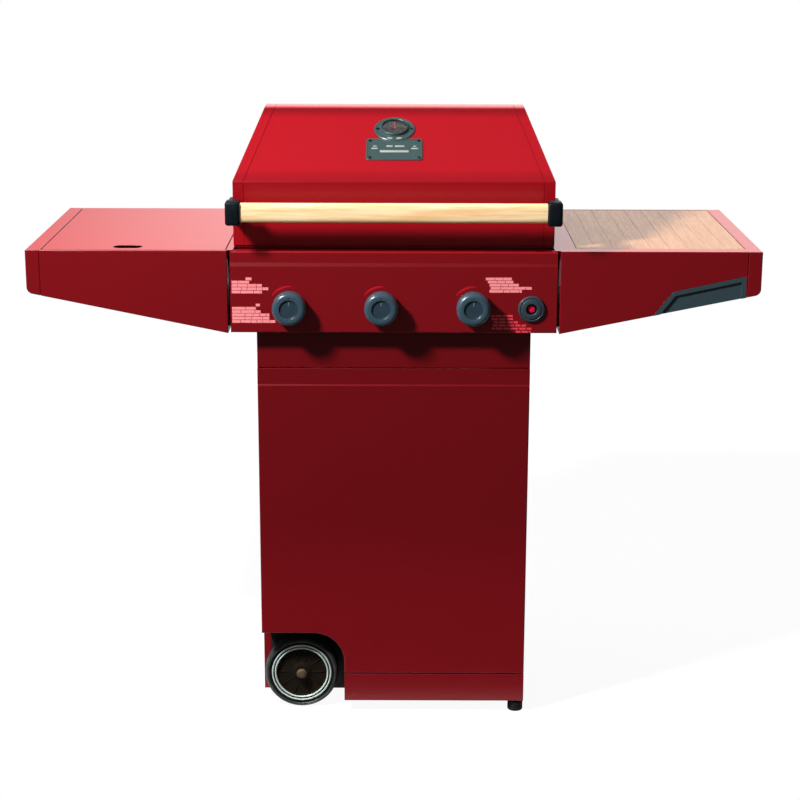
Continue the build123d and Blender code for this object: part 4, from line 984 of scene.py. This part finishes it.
def make_stage():
    """A plain white floor that ends just in front of the grill."""
    half_width, front_edge, back_edge = 3.0, cad_box[0].y - 0.02, 3.2
    bounce, shadowed, glow = 0.4, 0.06, 0.94
    corners = [
        (-half_width, front_edge, 0), (half_width, front_edge, 0), (half_width, back_edge, 0),
        (-half_width, back_edge, 0),
    ]
    mesh = bpy.data.meshes.new("studio_floor")
    mesh.from_pydata(corners, [], [(0, 1, 2, 3)])
    floor = bpy.data.objects.new("studio_floor", mesh)
    bpy.context.scene.collection.objects.link(floor)
    look = Look("studio_floor", Roughness=1.0)
    look.put("Base Color", (bounce, bounce, bounce, 1))
    bright = look.add("BsdfPrincipled")
    look.feed(bright, "Base Color", (shadowed, shadowed, shadowed, 1))
    look.feed(bright, "Roughness", 1.0)
    look.feed(bright, "Emission Color", (1, 1, 1, 1))
    look.feed(bright, "Emission Strength", glow)
    result = path_mix(look.tree, "Is Camera Ray", look.surface.outputs[0], bright.outputs[0])
    look.feed(look.tree.nodes["Material Output"], "Surface", result)
    mesh.materials.append(look.material)


def direction_map(tree, value, low, high, out_low, out_high, kind):
    """Maps one part of a direction from low..high to out_low..out_high."""
    node = tree.nodes.new("ShaderNodeMapRange")
    node.interpolation_type = kind
    tree.links.new(value, node.inputs["Value"])
    for socket, number in (("From Min", low), ("From Max", high), ("To Min", out_low), ("To Max", out_high)):
        node.inputs[socket].default_value = number
    return node.outputs["Result"]


def make_surroundings():
    """A room that is white seen directly, and to the grill's gloss is bright only behind it."""
    ambient, dim, bright = 0.16, 0.02, 1.08
    dim_left, bright_right = 0.5, 1.45
    world = bpy.data.worlds.new("studio")
    bpy.context.scene.world = world
    world.use_nodes = True
    tree = world.node_tree
    split = tree.nodes.new("ShaderNodeSeparateXYZ")
    tree.links.new(tree.nodes.new("ShaderNodeTexCoord").outputs["Generated"], split.inputs[0])
    backdrop = direction_map(tree, split.outputs["Y"], 0.7, 0.93, dim, bright, "SMOOTHSTEP")
    across = direction_map(tree, split.outputs["X"], -0.2, -0.06, dim_left, bright_right, "LINEAR")
    glossy = tree.nodes["Background"]
    tree.links.new(backdrop, glossy.inputs["Color"])
    tree.links.new(across, glossy.inputs["Strength"])
    fill = tree.nodes.new("ShaderNodeBackground")
    fill.inputs["Color"].default_value = (ambient, ambient, ambient, 1)
    seen = tree.nodes.new("ShaderNodeBackground")
    seen.inputs["Color"].default_value = (1, 1, 1, 1)
    lighting = path_mix(tree, "Is Diffuse Ray", glossy.outputs[0], fill.outputs[0])
    result = path_mix(tree, "Is Camera Ray", lighting, seen.outputs[0])
    tree.links.new(result, tree.nodes["World Output"].inputs["Surface"])


def make_lights():
    """A small lamp at the upper left, in front, equally strong near and far, and a soft overhead."""
    key_power, key_radius, key_place = 83.0, 0.11, (-1.0, face_y - 0.74, 1.9)
    overhead_power, overhead_size, overhead_place = 40.0, (3.0, 1.6), (0, 0.35, 3.2)
    scene_objects = bpy.context.scene.collection.objects
    lamp = bpy.data.lights.new("key", "POINT")
    lamp.energy = key_power
    lamp.shadow_soft_size = key_radius
    lamp.use_nodes = True
    glow = lamp.node_tree.nodes["Emission"]
    falloff = lamp.node_tree.nodes.new("ShaderNodeLightFalloff")
    falloff.inputs["Strength"].default_value = 1.0
    lamp.node_tree.links.new(glow.inputs["Strength"], falloff.outputs["Constant"])
    key = bpy.data.objects.new("key", lamp)
    key.location = key_place
    scene_objects.link(key)
    panel = bpy.data.lights.new("overhead", "AREA")
    panel.shape = "RECTANGLE"
    panel.size, panel.size_y = overhead_size
    panel.energy = overhead_power
    overhead = bpy.data.objects.new("overhead", panel)
    overhead.location = overhead_place
    overhead.visible_glossy = False
    scene_objects.link(overhead)


def make_camera():
    """The view from in front of the grill, a little above its lid."""
    place, lens, sensor = (0.0121, -3.6146, 1.5514), 84.1, 36.0
    pitch, roll = math.radians(14.98), math.radians(0.173)
    data = bpy.data.cameras.new("front_view")
    data.lens = lens
    data.sensor_width = sensor
    camera = bpy.data.objects.new("front_view", data)
    turn = Matrix.Rotation(math.pi / 2 - pitch, 4, "X") @ Matrix.Rotation(roll, 4, "Z")
    camera.matrix_world = Matrix.Translation(place) @ turn
    bpy.context.scene.collection.objects.link(camera)
    bpy.context.scene.camera = camera


make_stage()
make_surroundings()
make_lights()
make_camera()
bpy.context.scene.view_settings.view_transform = "Standard"
